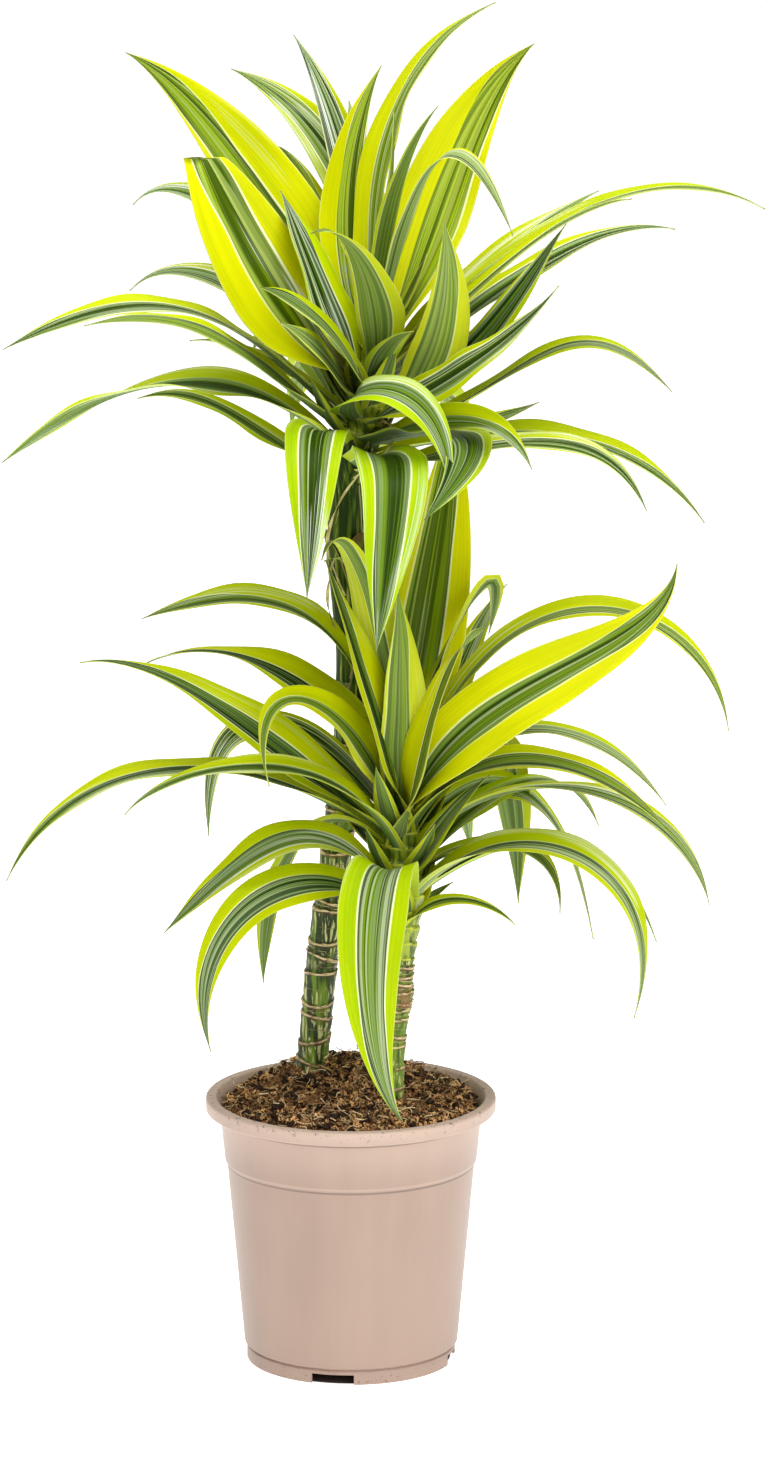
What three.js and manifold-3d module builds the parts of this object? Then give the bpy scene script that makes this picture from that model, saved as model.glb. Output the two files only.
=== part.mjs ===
// A potted dracaena: two ringed canes of different height in a moulded nursery pot, each with a head of
// striped strap leaves. Millimetres, +Z up. The origin is the middle of the pot's foot, on the ground.
import * as THREE from 'three';
import { mergeVertices } from 'three/addons/utils/BufferGeometryUtils.js';
import Module from 'manifold-3d';

const wasm = await Module();
wasm.setup();

// ---- Driving dimensions ----

const GAP = 0.3; // left between pieces that touch

const POT = {
  height: 158.7,
  lipRadius: 85, // outside of the rolled lip
  lipInnerRadius: 78.5,
  lipDepth: 8.2, // the lip's upright face
  lipRound: 1.6,
  collarTopRadius: 76.8, // the wider band under the lip
  collarFootRadius: 73.8,
  collarFootZ: 120.5,
  bodyTopRadius: 72.6,
  bodyFootRadius: 62.6,
  footRadius: 61.2,
  footHeight: 8.8,
  grooveDepth: 1.1, // above the foot ring
  wall: 1.8,
  floorZ: 12.5, // underside of the raised floor
  floorThickness: 2,
  padRadius: 13, // middle pad that stands level with the foot ring
  sides: 48,
};
const NOTCH = { count: 4, width: 25, height: 6, firstAzimuth: -100 }; // drain gaps in the foot ring
const DRAIN = { count: 6, radius: 5, atRadius: 38 }; // holes through the floor

const SOIL = {
  edgeZ: 151, // level against the wall
  crown: 9, // the middle stands this much higher
  heap: { x: 0, y: 36, height: 12, spread: 34 }, // extra heap behind the canes
  frontLift: 4,
  clods: 2.2, // height of the lumps
  rings: 12,
  sides: 40,
};

// Canes: middle line from the rooted foot to the cut under the head
const TALL_CANE = {
  path: [[-33, 31, 70], [-23, 28, 169], [-17, 26, 233], [-10, 23, 288], [-4, 21, 339], [1, 18, 397], [2, 17, 422],
    [-2, 15, 466], [-3, 15, 493], [-2, 14, 522]],
  footRadius: 9.4,
  topRadius: 8.7,
  ringPitch: 22,
  ringLift: 0.6,
  sides: 12,
};
const SHORT_CANE = {
  path: [[20, -19, 80], [24, -19, 162], [25, -19, 191], [28, -19, 221], [31, -18, 245]],
  footRadius: 7.1,
  topRadius: 6.6,
  ringPitch: 17,
  ringLift: 0.5,
  sides: 12,
};

// Shoots: the leafy part of each stem, thick with clasping leaf bases, which all the leaves of a head grow from
const UPPER_SHOOT = {
  path: [[-2, 14, 522.3], [3, 13, 546], [10, 12, 570], [16, 12, 599], [19, 12, 636]],
  radii: [8.6, 11.5, 12.8, 12.8, 12, 9, 4], // from foot to top, level steps
};
const LOWER_SHOOT = {
  path: [[31, -18, 245.3], [30, -17, 280], [29, -16, 310], [29, -15, 352]],
  radii: [6.6, 10, 13, 14, 13, 9.5, 5],
};
const SHOOT_SIDES = 10;

// Leaves. Each row: root height on the shoot | first pull x y z | second pull x y z | tip x y z | width |
// roll at the middle, roll at the tip (degrees about the midrib), and for a blunt leaf the share of its length
// where it starts to narrow. The midrib is the curve from the root to the tip that the two pulls bend.
const UPPER_LEAVES = [
  // upright leaves at the top of the head
  [599, 8, 1, 665, 4, 61, 754, 83, 29, 797, 30, -12, -22],
  [587, 40, 11, 640, 55, 98, 725, 106, 68, 768, 46, 40, 40],
  [593, -15, 11, 635, -12, 44, 710, 18, 50, 758, 29, -10, -10],
  [605, 10, 57, 655, 0, 66, 723, -33, 85, 771, 24, -30, -30],
  [616, 14, 45, 675, -12, 87, 729, -70, 133, 744, 28, -40, -40],
  [587, -23, 18, 662, -81, 81, 739, -130, 74, 762, 44, -60, -60],
  [570, -53, 1, 610, -97, -26, 758, -82, 26, 696, 60, -60, -62, 0.44],
  [587, 13, -6, 637, 20, 3, 705, 50, -22, 745, 15, 5, -5],
  [610, 20, 11, 651, 26, 16, 703, 25, 15, 736, 20, -25, -30],
  [570, -3, -15, 603, -26, -11, 666, -40, 19, 690, 34, -60, -60],
  [552, 57, 4, 571, 62, -50, 638, 53, -59, 685, 33, -35, -30],
  // arching leaves, left side
  [581, -29, 41, 652, -98, 66, 708, -126, 68, 674, 24, -36, -40],
  [570, -35, 40, 617, -93, 60, 660, -128, 60, 625, 24, -30, -30],
  [546, -63, -20, 627, -106, -6, 653, -198, -23, 605, 25, -4, -45],
  [546, -56, -10, 589, -75, -40, 639, -149, -87, 630, 26, -28, -15],
  [531, -48, -1, 593, -119, -27, 606, -198, -47, 544, 34, -22, 65],
  [525, -55, 20, 538, -74, 30, 581, -123, 30, 567, 22, -14, -26],
  [552, -29, 46, 581, -70, 18, 607, -93, 46, 598, 20, 0, 0],
  [564, 9, -54, 597, -17, -38, 635, -50, -82, 651, 30, -60, -60],
  [558, 0, 0, 578, -22, -76, 623, -39, -94, 633, 28, -60, -60],
  [575, 31, -30, 629, 0, -60, 691, -22, -60, 678, 30, 0, -40],
  // arching leaves, right side
  [590, 39, -39, 748, 66, -66, 747, 92, -75, 679, 15, 15, 40],
  [572, 57, 38, 628, 97, -2, 670, 143, 38, 687, 28, 20, 20],
  [575, 74, 3, 659, 164, -17, 725, 237, 2, 682, 28, 4, 10],
  [570, 68, -25, 640, 119, -44, 692, 160, -24, 692, 26, 25, 20],
  [570, 69, 20, 621, 135, 50, 673, 188, 60, 661, 32, 8, 12],
  [558, 71, -1, 578, 96, -41, 641, 122, -63, 684, 24, 65, 65],
  [552, 51, -63, 589, 95, -105, 625, 117, -111, 657, 26, 65, 65],
  [549, 92, 2, 554, 116, -1, 652, 185, 7, 575, 20, 8, 36],
  [540, 46, 81, 533, 81, 70, 544, 110, 68, 558, 20, 20, 20],
  [537, 46, -15, 571, 86, -77, 586, 102, -129, 556, 21, 50, 5],
  [531, 63, 11, 552, 151, -3, 576, 204, -2, 500, 25, 14, 22],
  [525, 43, -41, 538, 139, -66, 594, 168, -78, 522, 26, 20, 16],
  // leaves that come forward and hang
  [555, -24, -80, 591, 54, -76, 619, 57, -89, 536, 27, 38, 0],
  [528, 29, -50, 552, 30, -130, 585, 15, -110, 448, 42, 0, 0],
  [534, -27, -32, 570, -17, -121, 594, -24, -109, 478, 36, -8, -8],
  [558, 14, 13, 581, 20, -17, 612, 36, -76, 625, 20, 0, 0],
  [540, 66, -40, 566, 86, -80, 574, 42, -103, 522, 38, -4, 6],
];
const LOWER_LEAVES = [
  // upright leaves in the middle of the head
  [310, 29, -50, 383, 1, -48, 441, -14, -25, 483, 34, -75, -75],
  [328, 24, -37, 426, -1, 1, 525, -16, -69, 492, 32, 20, 20],
  [328, 36, 31, 388, 58, 24, 490, 60, 44, 566, 46, 20, 20],
  [316, 36, -40, 381, 33, -47, 435, 27, -34, 467, 36, 30, 30],
  [333, 29, 23, 380, 21, 11, 494, -15, -23, 482, 26, -60, -60],
  [333, 44, 0, 430, 100, 8, 512, 80, 14, 431, 24, -10, -70],
  [304, 40, -67, 387, 51, -77, 442, 78, -26, 444, 34, 75, 75],
  // right side
  [322, 69, -10, 501, 207, 0, 469, 219, 0, 377, 22, 12, 55],
  [310, 44, -94, 434, 180, -49, 421, 188, -11, 478, 44, 70, 70],
  [322, 76, 19, 403, 150, 53, 372, 185, 48, 321, 22, 5, 50],
  [304, 59, -47, 401, 147, -53, 377, 183, -44, 327, 26, 20, 18],
  [292, 66, -19, 374, 190, -19, 362, 208, -20, 278, 24, -8, 50],
  [268, 67, -49, 353, 193, -56, 333, 164, -46, 217, 31, 15, 10],
  [310, 81, 78, 348, 122, 64, 345, 143, 56, 238, 24, 40, 55],
  [316, 52, 62, 370, 92, 70, 420, 99, 80, 254, 50, 20, 20],
  [286, 58, 9, 316, 122, -22, 330, 121, -39, 278, 26, 0, 22],
  [257, 39, -40, 292, 75, -60, 297, 95, -60, 276, 14, 35, -5],
  [259, 36, 10, 267, 49, 20, 275, 60, 20, 282, 14, -10, -10],
  [280, 43, -30, 313, 57, -58, 344, 80, -32, 358, 28, 50, 50],
  // left side
  [339, 7, -42, 448, -30, 1, 481, -122, 43, 434, 28, 0, -48],
  [310, -14, -28, 355, -100, -37, 436, -155, -35, 425, 36, -45, -5],
  [322, 9, 0, 410, -75, -21, 446, -122, 20, 411, 32, -32, 12],
  [304, 19, -42, 412, -67, -62, 446, -46, -78, 362, 28, -70, 20],
  [298, 3, -81, 403, -106, -47, 369, -129, -68, 343, 30, -17, 0],
  [304, -31, 6, 366, -154, -39, 392, -199, -27, 294, 26, -8, -30],
  [316, -12, 7, 382, -87, 7, 418, -83, 25, 308, 22, -40, -70],
  [280, -21, -40, 346, -45, -50, 332, -108, -40, 266, 30, -25, -22],
  [298, -12, -1, 360, -51, -5, 307, -51, -4, 227, 32, 10, 35],
  [257, -3, -40, 330, -104, -70, 295, -80, -80, 206, 31, -35, -20],
  // the leaf that hangs down in front of the pot's soil
  [268, 16, -116, 392, -4, -92, 210, 31, -68, 160, 44, -5, -5, 0.2],
];
// Leaves on the far side follow the plant's own spiral: each stands a golden turn on from the last
const UPPER_BACK = { count: 10, azimuth: [68, 124], root: [530, 592], seed: 7 };
const LOWER_BACK = { count: 8, azimuth: [22, 106], root: [272, 318], seed: 3 };
const GOLDEN_TURN = 0.618034;

const BLADE = {
  segmentLength: 38, // of the midrib, in each facet
  rimThickness: 0.6,
  midribThickness: 1.1,
  tipWidth: 0.9,
  taperFrom: 0.36, // share of the length where a blade starts to narrow
  foldAtRoot: 0.6, // radians that each half leans up from flat
  foldAtMiddle: 0.16,
};

const COLOURS = {
  pot: '#b39a90', soil: '#4b3322', tallCane: '#4b5a35', shortCane: '#5e6a3a', upper: '#8fae2c', lower: '#8aa92a',
};

// ---- Joining and cutting ----

function solidOf(geometry, weld = 1e-4) {
  const plain = geometry.clone();
  plain.deleteAttribute('normal');
  plain.deleteAttribute('uv');
  const merged = mergeVertices(plain, weld);
  return new wasm.Manifold(new wasm.Mesh({
    numProp: 3,
    vertProperties: new Float32Array(merged.attributes.position.array),
    triVerts: new Uint32Array(merged.index.array),
  }));
}

function geometryOf(solid) {
  const { vertProperties, triVerts } = solid.getMesh();
  const geometry = new THREE.BufferGeometry();
  geometry.setAttribute('position', new THREE.BufferAttribute(vertProperties, 3));
  geometry.setIndex(new THREE.BufferAttribute(triVerts, 1));
  geometry.computeVertexNormals();
  return geometry;
}

// The outer skin of the largest body: sealed hollows are filled and loose scraps dropped. Points closer than
// a thousandth of a millimetre are welded first, which can pinch off more of both.
function outerBody(solid) {
  const largest = (whole) => whole.decompose().reduce((best, body) => (body.volume() > best.volume() ? body : best));
  return largest(solidOf(geometryOf(largest(solid)), 1e-3));
}

function mesh(name, geometry, colour, roughness) {
  const piece = new THREE.Mesh(geometry, new THREE.MeshStandardMaterial({ color: colour, roughness, metalness: 0 }));
  piece.name = name;
  return piece;
}

// ---- Small maths ----

const lerp = THREE.MathUtils.lerp;
const smooth = THREE.MathUtils.smoothstep;
const radians = THREE.MathUtils.degToRad;
const UP = new THREE.Vector3(0, 0, 1);

function seeded(seed) {
  let state = seed;
  return () => {
    state = (state * 16807) % 2147483647;
    return state / 2147483647;
  };
}

function splineOf(path) {
  return new THREE.CatmullRomCurve3(path.map(([x, y, z]) => new THREE.Vector3(x, y, z)));
}

// ---- Pot ----

function potGeometry() {
  const p = POT;
  const lipFoot = p.height - p.lipDepth;
  const inside = (radius) => radius - p.wall;
  const profile = [
    [0, 0], [p.padRadius, 0], [p.padRadius + 1, p.floorZ], [inside(p.footRadius) - 0.4, p.floorZ],
    [inside(p.footRadius), 0], [p.footRadius, 0], [p.footRadius, p.footHeight - 1],
    [p.footRadius - p.grooveDepth, p.footHeight], [p.bodyFootRadius, p.footHeight + 1.4],
    [p.bodyTopRadius, p.collarFootZ - 1.2], [p.collarFootRadius, p.collarFootZ], [p.collarTopRadius, lipFoot],
    [p.lipRadius - 0.8, lipFoot], [p.lipRadius, lipFoot + 0.8], [p.lipRadius, p.height - p.lipRound],
    [p.lipRadius - p.lipRound * 0.3, p.height - p.lipRound * 0.3], [p.lipRadius - p.lipRound, p.height],
    [p.lipInnerRadius + 1, p.height], [p.lipInnerRadius, p.height - 1], [inside(p.collarTopRadius), lipFoot - 2],
    [inside(p.collarFootRadius), p.collarFootZ + 1.5], [inside(p.bodyTopRadius), p.collarFootZ - 1.5],
    [inside(p.bodyFootRadius), p.floorZ + p.floorThickness], [0, p.floorZ + p.floorThickness],
  ];
  const lathe = new THREE.LatheGeometry(profile.map(([r, z]) => new THREE.Vector2(r, z)), p.sides);
  lathe.rotateX(Math.PI / 2);
  let solid = solidOf(lathe);
  for (let i = 0; i < NOTCH.count; i += 1) {
    const gap = new THREE.BoxGeometry(12, NOTCH.width, NOTCH.height * 2);
    gap.translate(p.footRadius, 0, 0);
    gap.rotateZ(radians(NOTCH.firstAzimuth + (360 / NOTCH.count) * i));
    solid = solid.subtract(solidOf(gap));
  }
  for (let i = 0; i < DRAIN.count; i += 1) {
    const hole = new THREE.CylinderGeometry(DRAIN.radius, DRAIN.radius, 8, 12);
    hole.rotateX(Math.PI / 2);
    hole.translate(DRAIN.atRadius, 0, p.floorZ + p.floorThickness / 2);
    hole.rotateZ(radians((360 / DRAIN.count) * (i + 0.5)));
    solid = solid.subtract(solidOf(hole));
  }
  return geometryOf(solid);
}

// ---- Soil ----

function soilHeight(x, y, wallRadius) {
  const s = SOIL;
  const r = Math.hypot(x, y) / wallRadius;
  const heap = s.heap.height * Math.exp(-((x - s.heap.x) ** 2 + (y - s.heap.y) ** 2) / (2 * s.heap.spread ** 2));
  const lump = Math.sin(x * 0.31 + 1.3 * Math.sin(y * 0.17)) * Math.cos(y * 0.27 + 1.1 * Math.sin(x * 0.13))
    + 0.5 * Math.sin(x * 0.53 - y * 0.41);
  return s.edgeZ + s.crown * (1 - r * r) + heap + s.frontLift * smooth(-y, 10, 70) + s.clods * lump * (1 - 0.6 * r);
}

function soilGeometry(holes) {
  const p = POT;
  const inside = (radius) => radius - p.wall - GAP;
  const floor = p.floorZ + p.floorThickness + GAP;
  const wall = [
    [inside(p.bodyFootRadius), floor], [inside(p.bodyTopRadius), p.collarFootZ - 1.5],
    [inside(p.collarFootRadius), p.collarFootZ + 1.5 + GAP],
  ];
  const topShare = (SOIL.edgeZ - p.collarFootZ) / (p.height - p.lipDepth - p.collarFootZ);
  const wallRadius = inside(lerp(p.collarFootRadius, p.collarTopRadius, topShare)) - 0.4;
  const profile = [[0, floor], ...wall, [wallRadius, SOIL.edgeZ - 3]];
  for (let i = 0; i <= SOIL.rings; i += 1) profile.push([wallRadius * (1 - i / SOIL.rings), SOIL.edgeZ]);
  const lathe = new THREE.LatheGeometry(profile.map(([r, z]) => new THREE.Vector2(r, z)), SOIL.sides);
  lathe.rotateX(Math.PI / 2);
  const at = lathe.attributes.position;
  for (let i = 0; i < at.count; i += 1) {
    if (at.getZ(i) > SOIL.edgeZ - 1) at.setZ(i, soilHeight(at.getX(i), at.getY(i), wallRadius));
  }
  let solid = solidOf(lathe);
  for (const hole of holes) solid = solid.subtract(solidOf(hole));
  return geometryOf(outerBody(solid));
}

// ---- Canes and shoots ----

// A cylinder bent along a path, with level ends. `radiusAt` gives its radius at a distance along the path.
function bentRod(path, levels, sides, radiusAt) {
  const curve = splineOf(path);
  const length = curve.getLength();
  const rod = new THREE.CylinderGeometry(1, 1, 1, sides, levels.length - 1);
  const at = rod.attributes.position;
  const frameAt = (share) => {
    const along = share > 0 && share < 1 ? curve.getTangentAt(share) : UP;
    const across = new THREE.Vector3(1, 0, 0).addScaledVector(along, -along.x).normalize();
    return { middle: curve.getPointAt(share), across, over: new THREE.Vector3().crossVectors(along, across) };
  };
  const frames = levels.map((share) => frameAt(share));
  for (let i = 0; i < at.count; i += 1) {
    const level = Math.round((at.getY(i) + 0.5) * (levels.length - 1));
    const { middle, across, over } = frames[level];
    const radius = radiusAt(levels[level] * length, level);
    const x = at.getX(i);
    const z = -at.getZ(i);
    at.setXYZ(i, ...middle.clone().addScaledVector(across, x * radius).addScaledVector(over, z * radius).toArray());
  }
  return rod;
}

// Leaf scars ring a cane: each stands proud at its lower edge and steps back in above
function caneGeometry(cane, soilZ, grow = 0) {
  const length = splineOf(cane.path).getLength();
  const firstRing = soilZ - cane.path[0][2] - cane.ringPitch * 0.4;
  const levels = [0];
  const lifts = [0];
  if (grow === 0) {
    for (let s = firstRing; s < length - cane.ringPitch * 0.4; s += cane.ringPitch) {
      levels.push(s / length, (s + 1.4) / length);
      lifts.push(-cane.ringLift * 0.3, cane.ringLift);
    }
  } else {
    levels.push(0.25, 0.5, 0.75);
    lifts.push(0, 0, 0);
  }
  levels.push(1);
  lifts.push(0);
  const radiusAt = (s, level) => lerp(cane.footRadius, cane.topRadius, s / length) + lifts[level] + grow;
  return bentRod(cane.path, levels, cane.sides, radiusAt);
}

// The plain hole that a cane stands in, from under its foot to above the soil
function holeGeometry(cane) {
  const [foot, next] = cane.path.map(([x, y, z]) => new THREE.Vector3(x, y, z));
  const along = next.clone().sub(foot).normalize();
  const low = foot.clone().addScaledVector(along, -GAP);
  const high = next.clone().addScaledVector(along, 20);
  const radius = cane.footRadius + cane.ringLift + GAP + 0.3;
  return bentRod([low.toArray(), low.clone().lerp(high, 0.5).toArray(), high.toArray()], [0, 0.5, 1], 16, () => radius);
}

// ---- Leaves ----

// The blade's width at a share of its length, as a share of its widest
function bladeWidth(t, taperFrom) {
  const pointed = Math.max(0, (t - taperFrom) / (1 - taperFrom));
  return (0.54 + 0.46 * smooth(t, 0.02, 0.45)) * Math.cos((Math.PI / 2) * pointed ** 1.22) ** 1.15;
}

// Closes a bent sheet of 3 columns into a blade: the same triangles on both faces, and a rim round them
function thicken(sheet, rows, offsets) {
  const count = sheet.attributes.position.count;
  const at = sheet.attributes.position;
  const points = new Float32Array(count * 6);
  for (let i = 0; i < count; i += 1) {
    for (const [side, from] of [[1, 0], [-1, count]]) {
      points[(from + i) * 3] = at.getX(i) + side * offsets[i].x;
      points[(from + i) * 3 + 1] = at.getY(i) + side * offsets[i].y;
      points[(from + i) * 3 + 2] = at.getZ(i) + side * offsets[i].z;
    }
  }
  const top = Array.from(sheet.index.array);
  const index = [...top];
  for (let i = 0; i < top.length; i += 3) index.push(top[i] + count, top[i + 2] + count, top[i + 1] + count);
  const rim = [];
  for (let row = 0; row <= rows; row += 1) rim.push(row * 3);
  rim.push(rows * 3 + 1);
  for (let row = rows; row >= 0; row -= 1) rim.push(row * 3 + 2);
  rim.push(1);
  rim.forEach((a, i) => {
    const b = rim[(i + 1) % rim.length];
    index.push(b, a, a + count, b, a + count, b + count);
  });
  const blade = new THREE.BufferGeometry();
  blade.setAttribute('position', new THREE.BufferAttribute(points, 3));
  blade.setIndex(index);
  return blade;
}

function bladeGeometry(shoot, row) {
  const [rootZ, ax, ay, az, bx, by, bz, tipX, tipY, tipZ, width, rollMiddle, rollTip, taperFrom = BLADE.taperFrom] = row;
  const pulls = [new THREE.Vector3(ax, ay, az), new THREE.Vector3(bx, by, bz), new THREE.Vector3(tipX, tipY, tipZ)];
  const root = pointAtHeight(shoot.path, rootZ);
  const midrib = new THREE.CubicBezierCurve3(root, ...pulls);
  const outward = pulls[0].clone().add(pulls[1]).add(pulls[2]).divideScalar(3).sub(root).setZ(0).normalize();
  const side = new THREE.Vector3().crossVectors(UP, outward);
  const rows = Math.min(8, Math.max(4, Math.round(midrib.getLength() / BLADE.segmentLength)));
  const sheet = new THREE.PlaneGeometry(1, 1, 2, rows);
  const at = sheet.attributes.position;
  const offsets = [];
  for (let i = 0; i < at.count; i += 1) {
    const t = 0.5 + at.getY(i);
    const u = -2 * at.getX(i);
    const along = midrib.getTangentAt(t);
    const flat = side.clone().addScaledVector(along, -along.dot(side)).normalize();
    const over = new THREE.Vector3().crossVectors(along, flat);
    const roll = radians(rollMiddle * smooth(t, 0, 0.35) + (rollTip - rollMiddle) * smooth(t, 0.35, 1));
    const across = flat.clone().multiplyScalar(Math.cos(roll)).addScaledVector(over, Math.sin(roll));
    const face = over.clone().multiplyScalar(Math.cos(roll)).addScaledVector(flat, -Math.sin(roll));
    const half = Math.max(BLADE.tipWidth, bladeWidth(t, taperFrom) * width) / 2;
    const fold = lerp(BLADE.foldAtRoot, BLADE.foldAtMiddle, smooth(t, 0, 0.5));
    const point = midrib.getPointAt(t)
      .addScaledVector(across, u * half * Math.cos(fold))
      .addScaledVector(face, Math.abs(u) * half * Math.sin(fold));
    at.setXYZ(i, point.x, point.y, point.z);
    offsets.push(face.multiplyScalar(lerp(BLADE.midribThickness, BLADE.rimThickness, Math.abs(u)) / 2));
  }
  return thicken(sheet, rows, offsets);
}

function pointAtHeight(path, z) {
  const upper = path.findIndex((point) => point[2] >= z);
  const [high, low] = [path[upper], path[upper - 1]];
  const share = (z - low[2]) / (high[2] - low[2]);
  return new THREE.Vector3(...low.map((value, axis) => lerp(value, high[axis], share)));
}

// Far-side leaves, high ones rising and low ones arching over and down
function backLeaves(shoot, { count, azimuth, root, seed }) {
  const random = seeded(seed);
  return Array.from({ length: count }, (_, i) => {
    const turn = radians(lerp(azimuth[0], azimuth[1], (i * GOLDEN_TURN) % 1) + 6 * (random() - 0.5));
    const high = (i + 0.5) / count;
    const rootZ = Math.round(lerp(root[0], root[1], high));
    const start = pointAtHeight(shoot.path, rootZ);
    const reach = lerp(165, 95, high) * (0.92 + 0.16 * random());
    const out = (share, rise) => [
      start.x + Math.cos(turn) * reach * share, start.y + Math.sin(turn) * reach * share, rootZ + rise,
    ];
    const width = lerp(28, 33, random());
    return [
      rootZ, ...out(0.34, lerp(42, 70, high)), ...out(0.8, lerp(48, 135, high)), ...out(1, lerp(-45, 150, high)),
      width, 0, 16 * (random() - 0.5),
    ];
  });
}

function crownGeometry(shoot, rows) {
  const levels = shoot.radii.map((_, i) => i / (shoot.radii.length - 1));
  const core = bentRod(shoot.path, levels, SHOOT_SIDES, (s, level) => shoot.radii[level]);
  const blades = rows.map((row) => solidOf(bladeGeometry(shoot, row)));
  return geometryOf(outerBody(blades.reduce((whole, blade) => whole.add(blade), solidOf(core))));
}

// ---- The object ----

const plant = new THREE.Group();
plant.name = 'potted_dracaena';
plant.add(
  mesh('pot', potGeometry(), COLOURS.pot, 0.55),
  mesh('soil', soilGeometry([holeGeometry(TALL_CANE), holeGeometry(SHORT_CANE)]), COLOURS.soil, 0.95),
  mesh('tall_cane', caneGeometry(TALL_CANE, 169), COLOURS.tallCane, 0.6),
  mesh('short_cane', caneGeometry(SHORT_CANE, 162), COLOURS.shortCane, 0.6),
  mesh('upper_crown', crownGeometry(UPPER_SHOOT, [...UPPER_LEAVES, ...backLeaves(UPPER_SHOOT, UPPER_BACK)]), COLOURS.upper, 0.4),
  mesh('lower_crown', crownGeometry(LOWER_SHOOT, [...LOWER_LEAVES, ...backLeaves(LOWER_SHOOT, LOWER_BACK)]), COLOURS.lower, 0.4),
);
export default plant;
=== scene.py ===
# %% [markdown]
# # A potted dracaena
#
# The plant is two ringed canes in a round nursery pot, and each cane carries a head of striped strap leaves.
# The frame holds its six solids at full size: pot, soil, two canes and two heads. Their shapes are right but
# coarse, so each is replaced here by finer pieces that keep its form, and gets a finish of its own.
# Shapes are in millimetres here, as on a gardener's bench, and MM turns them into Blender's metres. The
# studio is in metres, and so are the places that the finishes read.

# %% The frame
import math
import random

import bmesh
import bpy
from mathutils import Matrix, Vector, noise


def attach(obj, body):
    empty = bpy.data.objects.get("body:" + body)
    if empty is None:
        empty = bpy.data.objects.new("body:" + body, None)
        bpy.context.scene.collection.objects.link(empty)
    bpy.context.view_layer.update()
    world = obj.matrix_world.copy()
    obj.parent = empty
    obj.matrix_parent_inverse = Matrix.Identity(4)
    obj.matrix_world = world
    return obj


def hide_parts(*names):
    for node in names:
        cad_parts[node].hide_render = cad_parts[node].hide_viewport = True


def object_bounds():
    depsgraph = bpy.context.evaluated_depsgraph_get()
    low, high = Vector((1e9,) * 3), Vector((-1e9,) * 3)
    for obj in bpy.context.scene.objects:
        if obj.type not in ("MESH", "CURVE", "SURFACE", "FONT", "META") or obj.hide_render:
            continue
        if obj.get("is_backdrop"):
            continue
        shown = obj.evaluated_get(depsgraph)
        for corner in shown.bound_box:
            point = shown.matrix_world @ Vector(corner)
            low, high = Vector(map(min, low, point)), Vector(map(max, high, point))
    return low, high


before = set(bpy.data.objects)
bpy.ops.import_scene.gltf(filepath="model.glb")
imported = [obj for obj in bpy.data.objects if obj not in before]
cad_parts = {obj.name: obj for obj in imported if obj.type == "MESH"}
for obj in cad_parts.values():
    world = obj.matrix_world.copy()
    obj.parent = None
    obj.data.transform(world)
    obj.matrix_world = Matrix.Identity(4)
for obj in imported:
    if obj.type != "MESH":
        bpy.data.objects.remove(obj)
cad_box = [list(corner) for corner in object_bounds()]
MM = 0.001
print("the frame's box in mm:", [[round(v / MM) for v in corner] for corner in cad_box])

# %% [markdown]
# ## The camera
#
# The photograph was taken from a few metres away with a long lens, a little above the plant. A pot's lip and
# foot are circles, so how flat they look tells how far from above they are seen. The fit to them has the
# camera look down by 12.9 degrees. The lens is the one that gives the pot its width in the picture, and it is
# written as the focal length in pixels of the photograph.

# %% Camera
CAMERA_PLACE = (0.0194, -4.5, 1.401)
CAMERA_LOOKS_DOWN = 12.9
PHOTO_HEIGHT = 1484
FOCAL_PIXELS = 7966
SENSOR = 36

camera_data = bpy.data.cameras.new("camera")
camera_data.sensor_width = SENSOR
camera_data.lens = SENSOR * FOCAL_PIXELS / PHOTO_HEIGHT
camera_data.clip_end = 100
camera = bpy.data.objects.new("camera", camera_data)
camera.location = CAMERA_PLACE
camera.rotation_euler = (math.radians(90 - CAMERA_LOOKS_DOWN), 0, 0)
bpy.context.scene.collection.objects.link(camera)
bpy.context.scene.camera = camera
print("lens in mm:", round(camera_data.lens, 1))

# %% [markdown]
# ## Light
#
# A plant on a white ground is lit by large soft boxes. Here the strongest hangs above, one stands at the
# front right, and a weak one at the left keeps that side from going black. The white room fills the shadows.
# The plain Standard view keeps the yellow of the leaves as strong as it is.

# %% Light
def soft_box(name, place, aim, size, power):
    """A square lamp at a place, turned to a point. Metres and watts."""
    lamp = bpy.data.lights.new(name, "AREA")
    lamp.size = size
    lamp.energy = power
    box = bpy.data.objects.new(name, lamp)
    box.location = place
    box.rotation_euler = (Vector(aim) - Vector(place)).to_track_quat("-Z", "Y").to_euler()
    bpy.context.scene.collection.objects.link(box)


PLANT_MIDDLE = (0, 0, 0.45)
soft_box("right_box", (1.4, -2.4, 1.7), PLANT_MIDDLE, 2.2, 48)
soft_box("left_box", (-2.2, -0.6, 1.6), PLANT_MIDDLE, 2.0, 8)
soft_box("top_box", (0.1, -0.2, 2.7), PLANT_MIDDLE, 2.0, 68)
bpy.context.scene.view_settings.view_transform = "Standard"

# %% [markdown]
# ## Shader sums as Python
#
# A finish is a small sum over the surface: this stripe here, that speck there. Written with Math nodes by
# hand, such a sum is hard to read. A Wire holds one output of a node, and Python's own operators on wires add
# the Math nodes. make() adds every other kind of node: first its settings, then what goes into its inputs.

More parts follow.
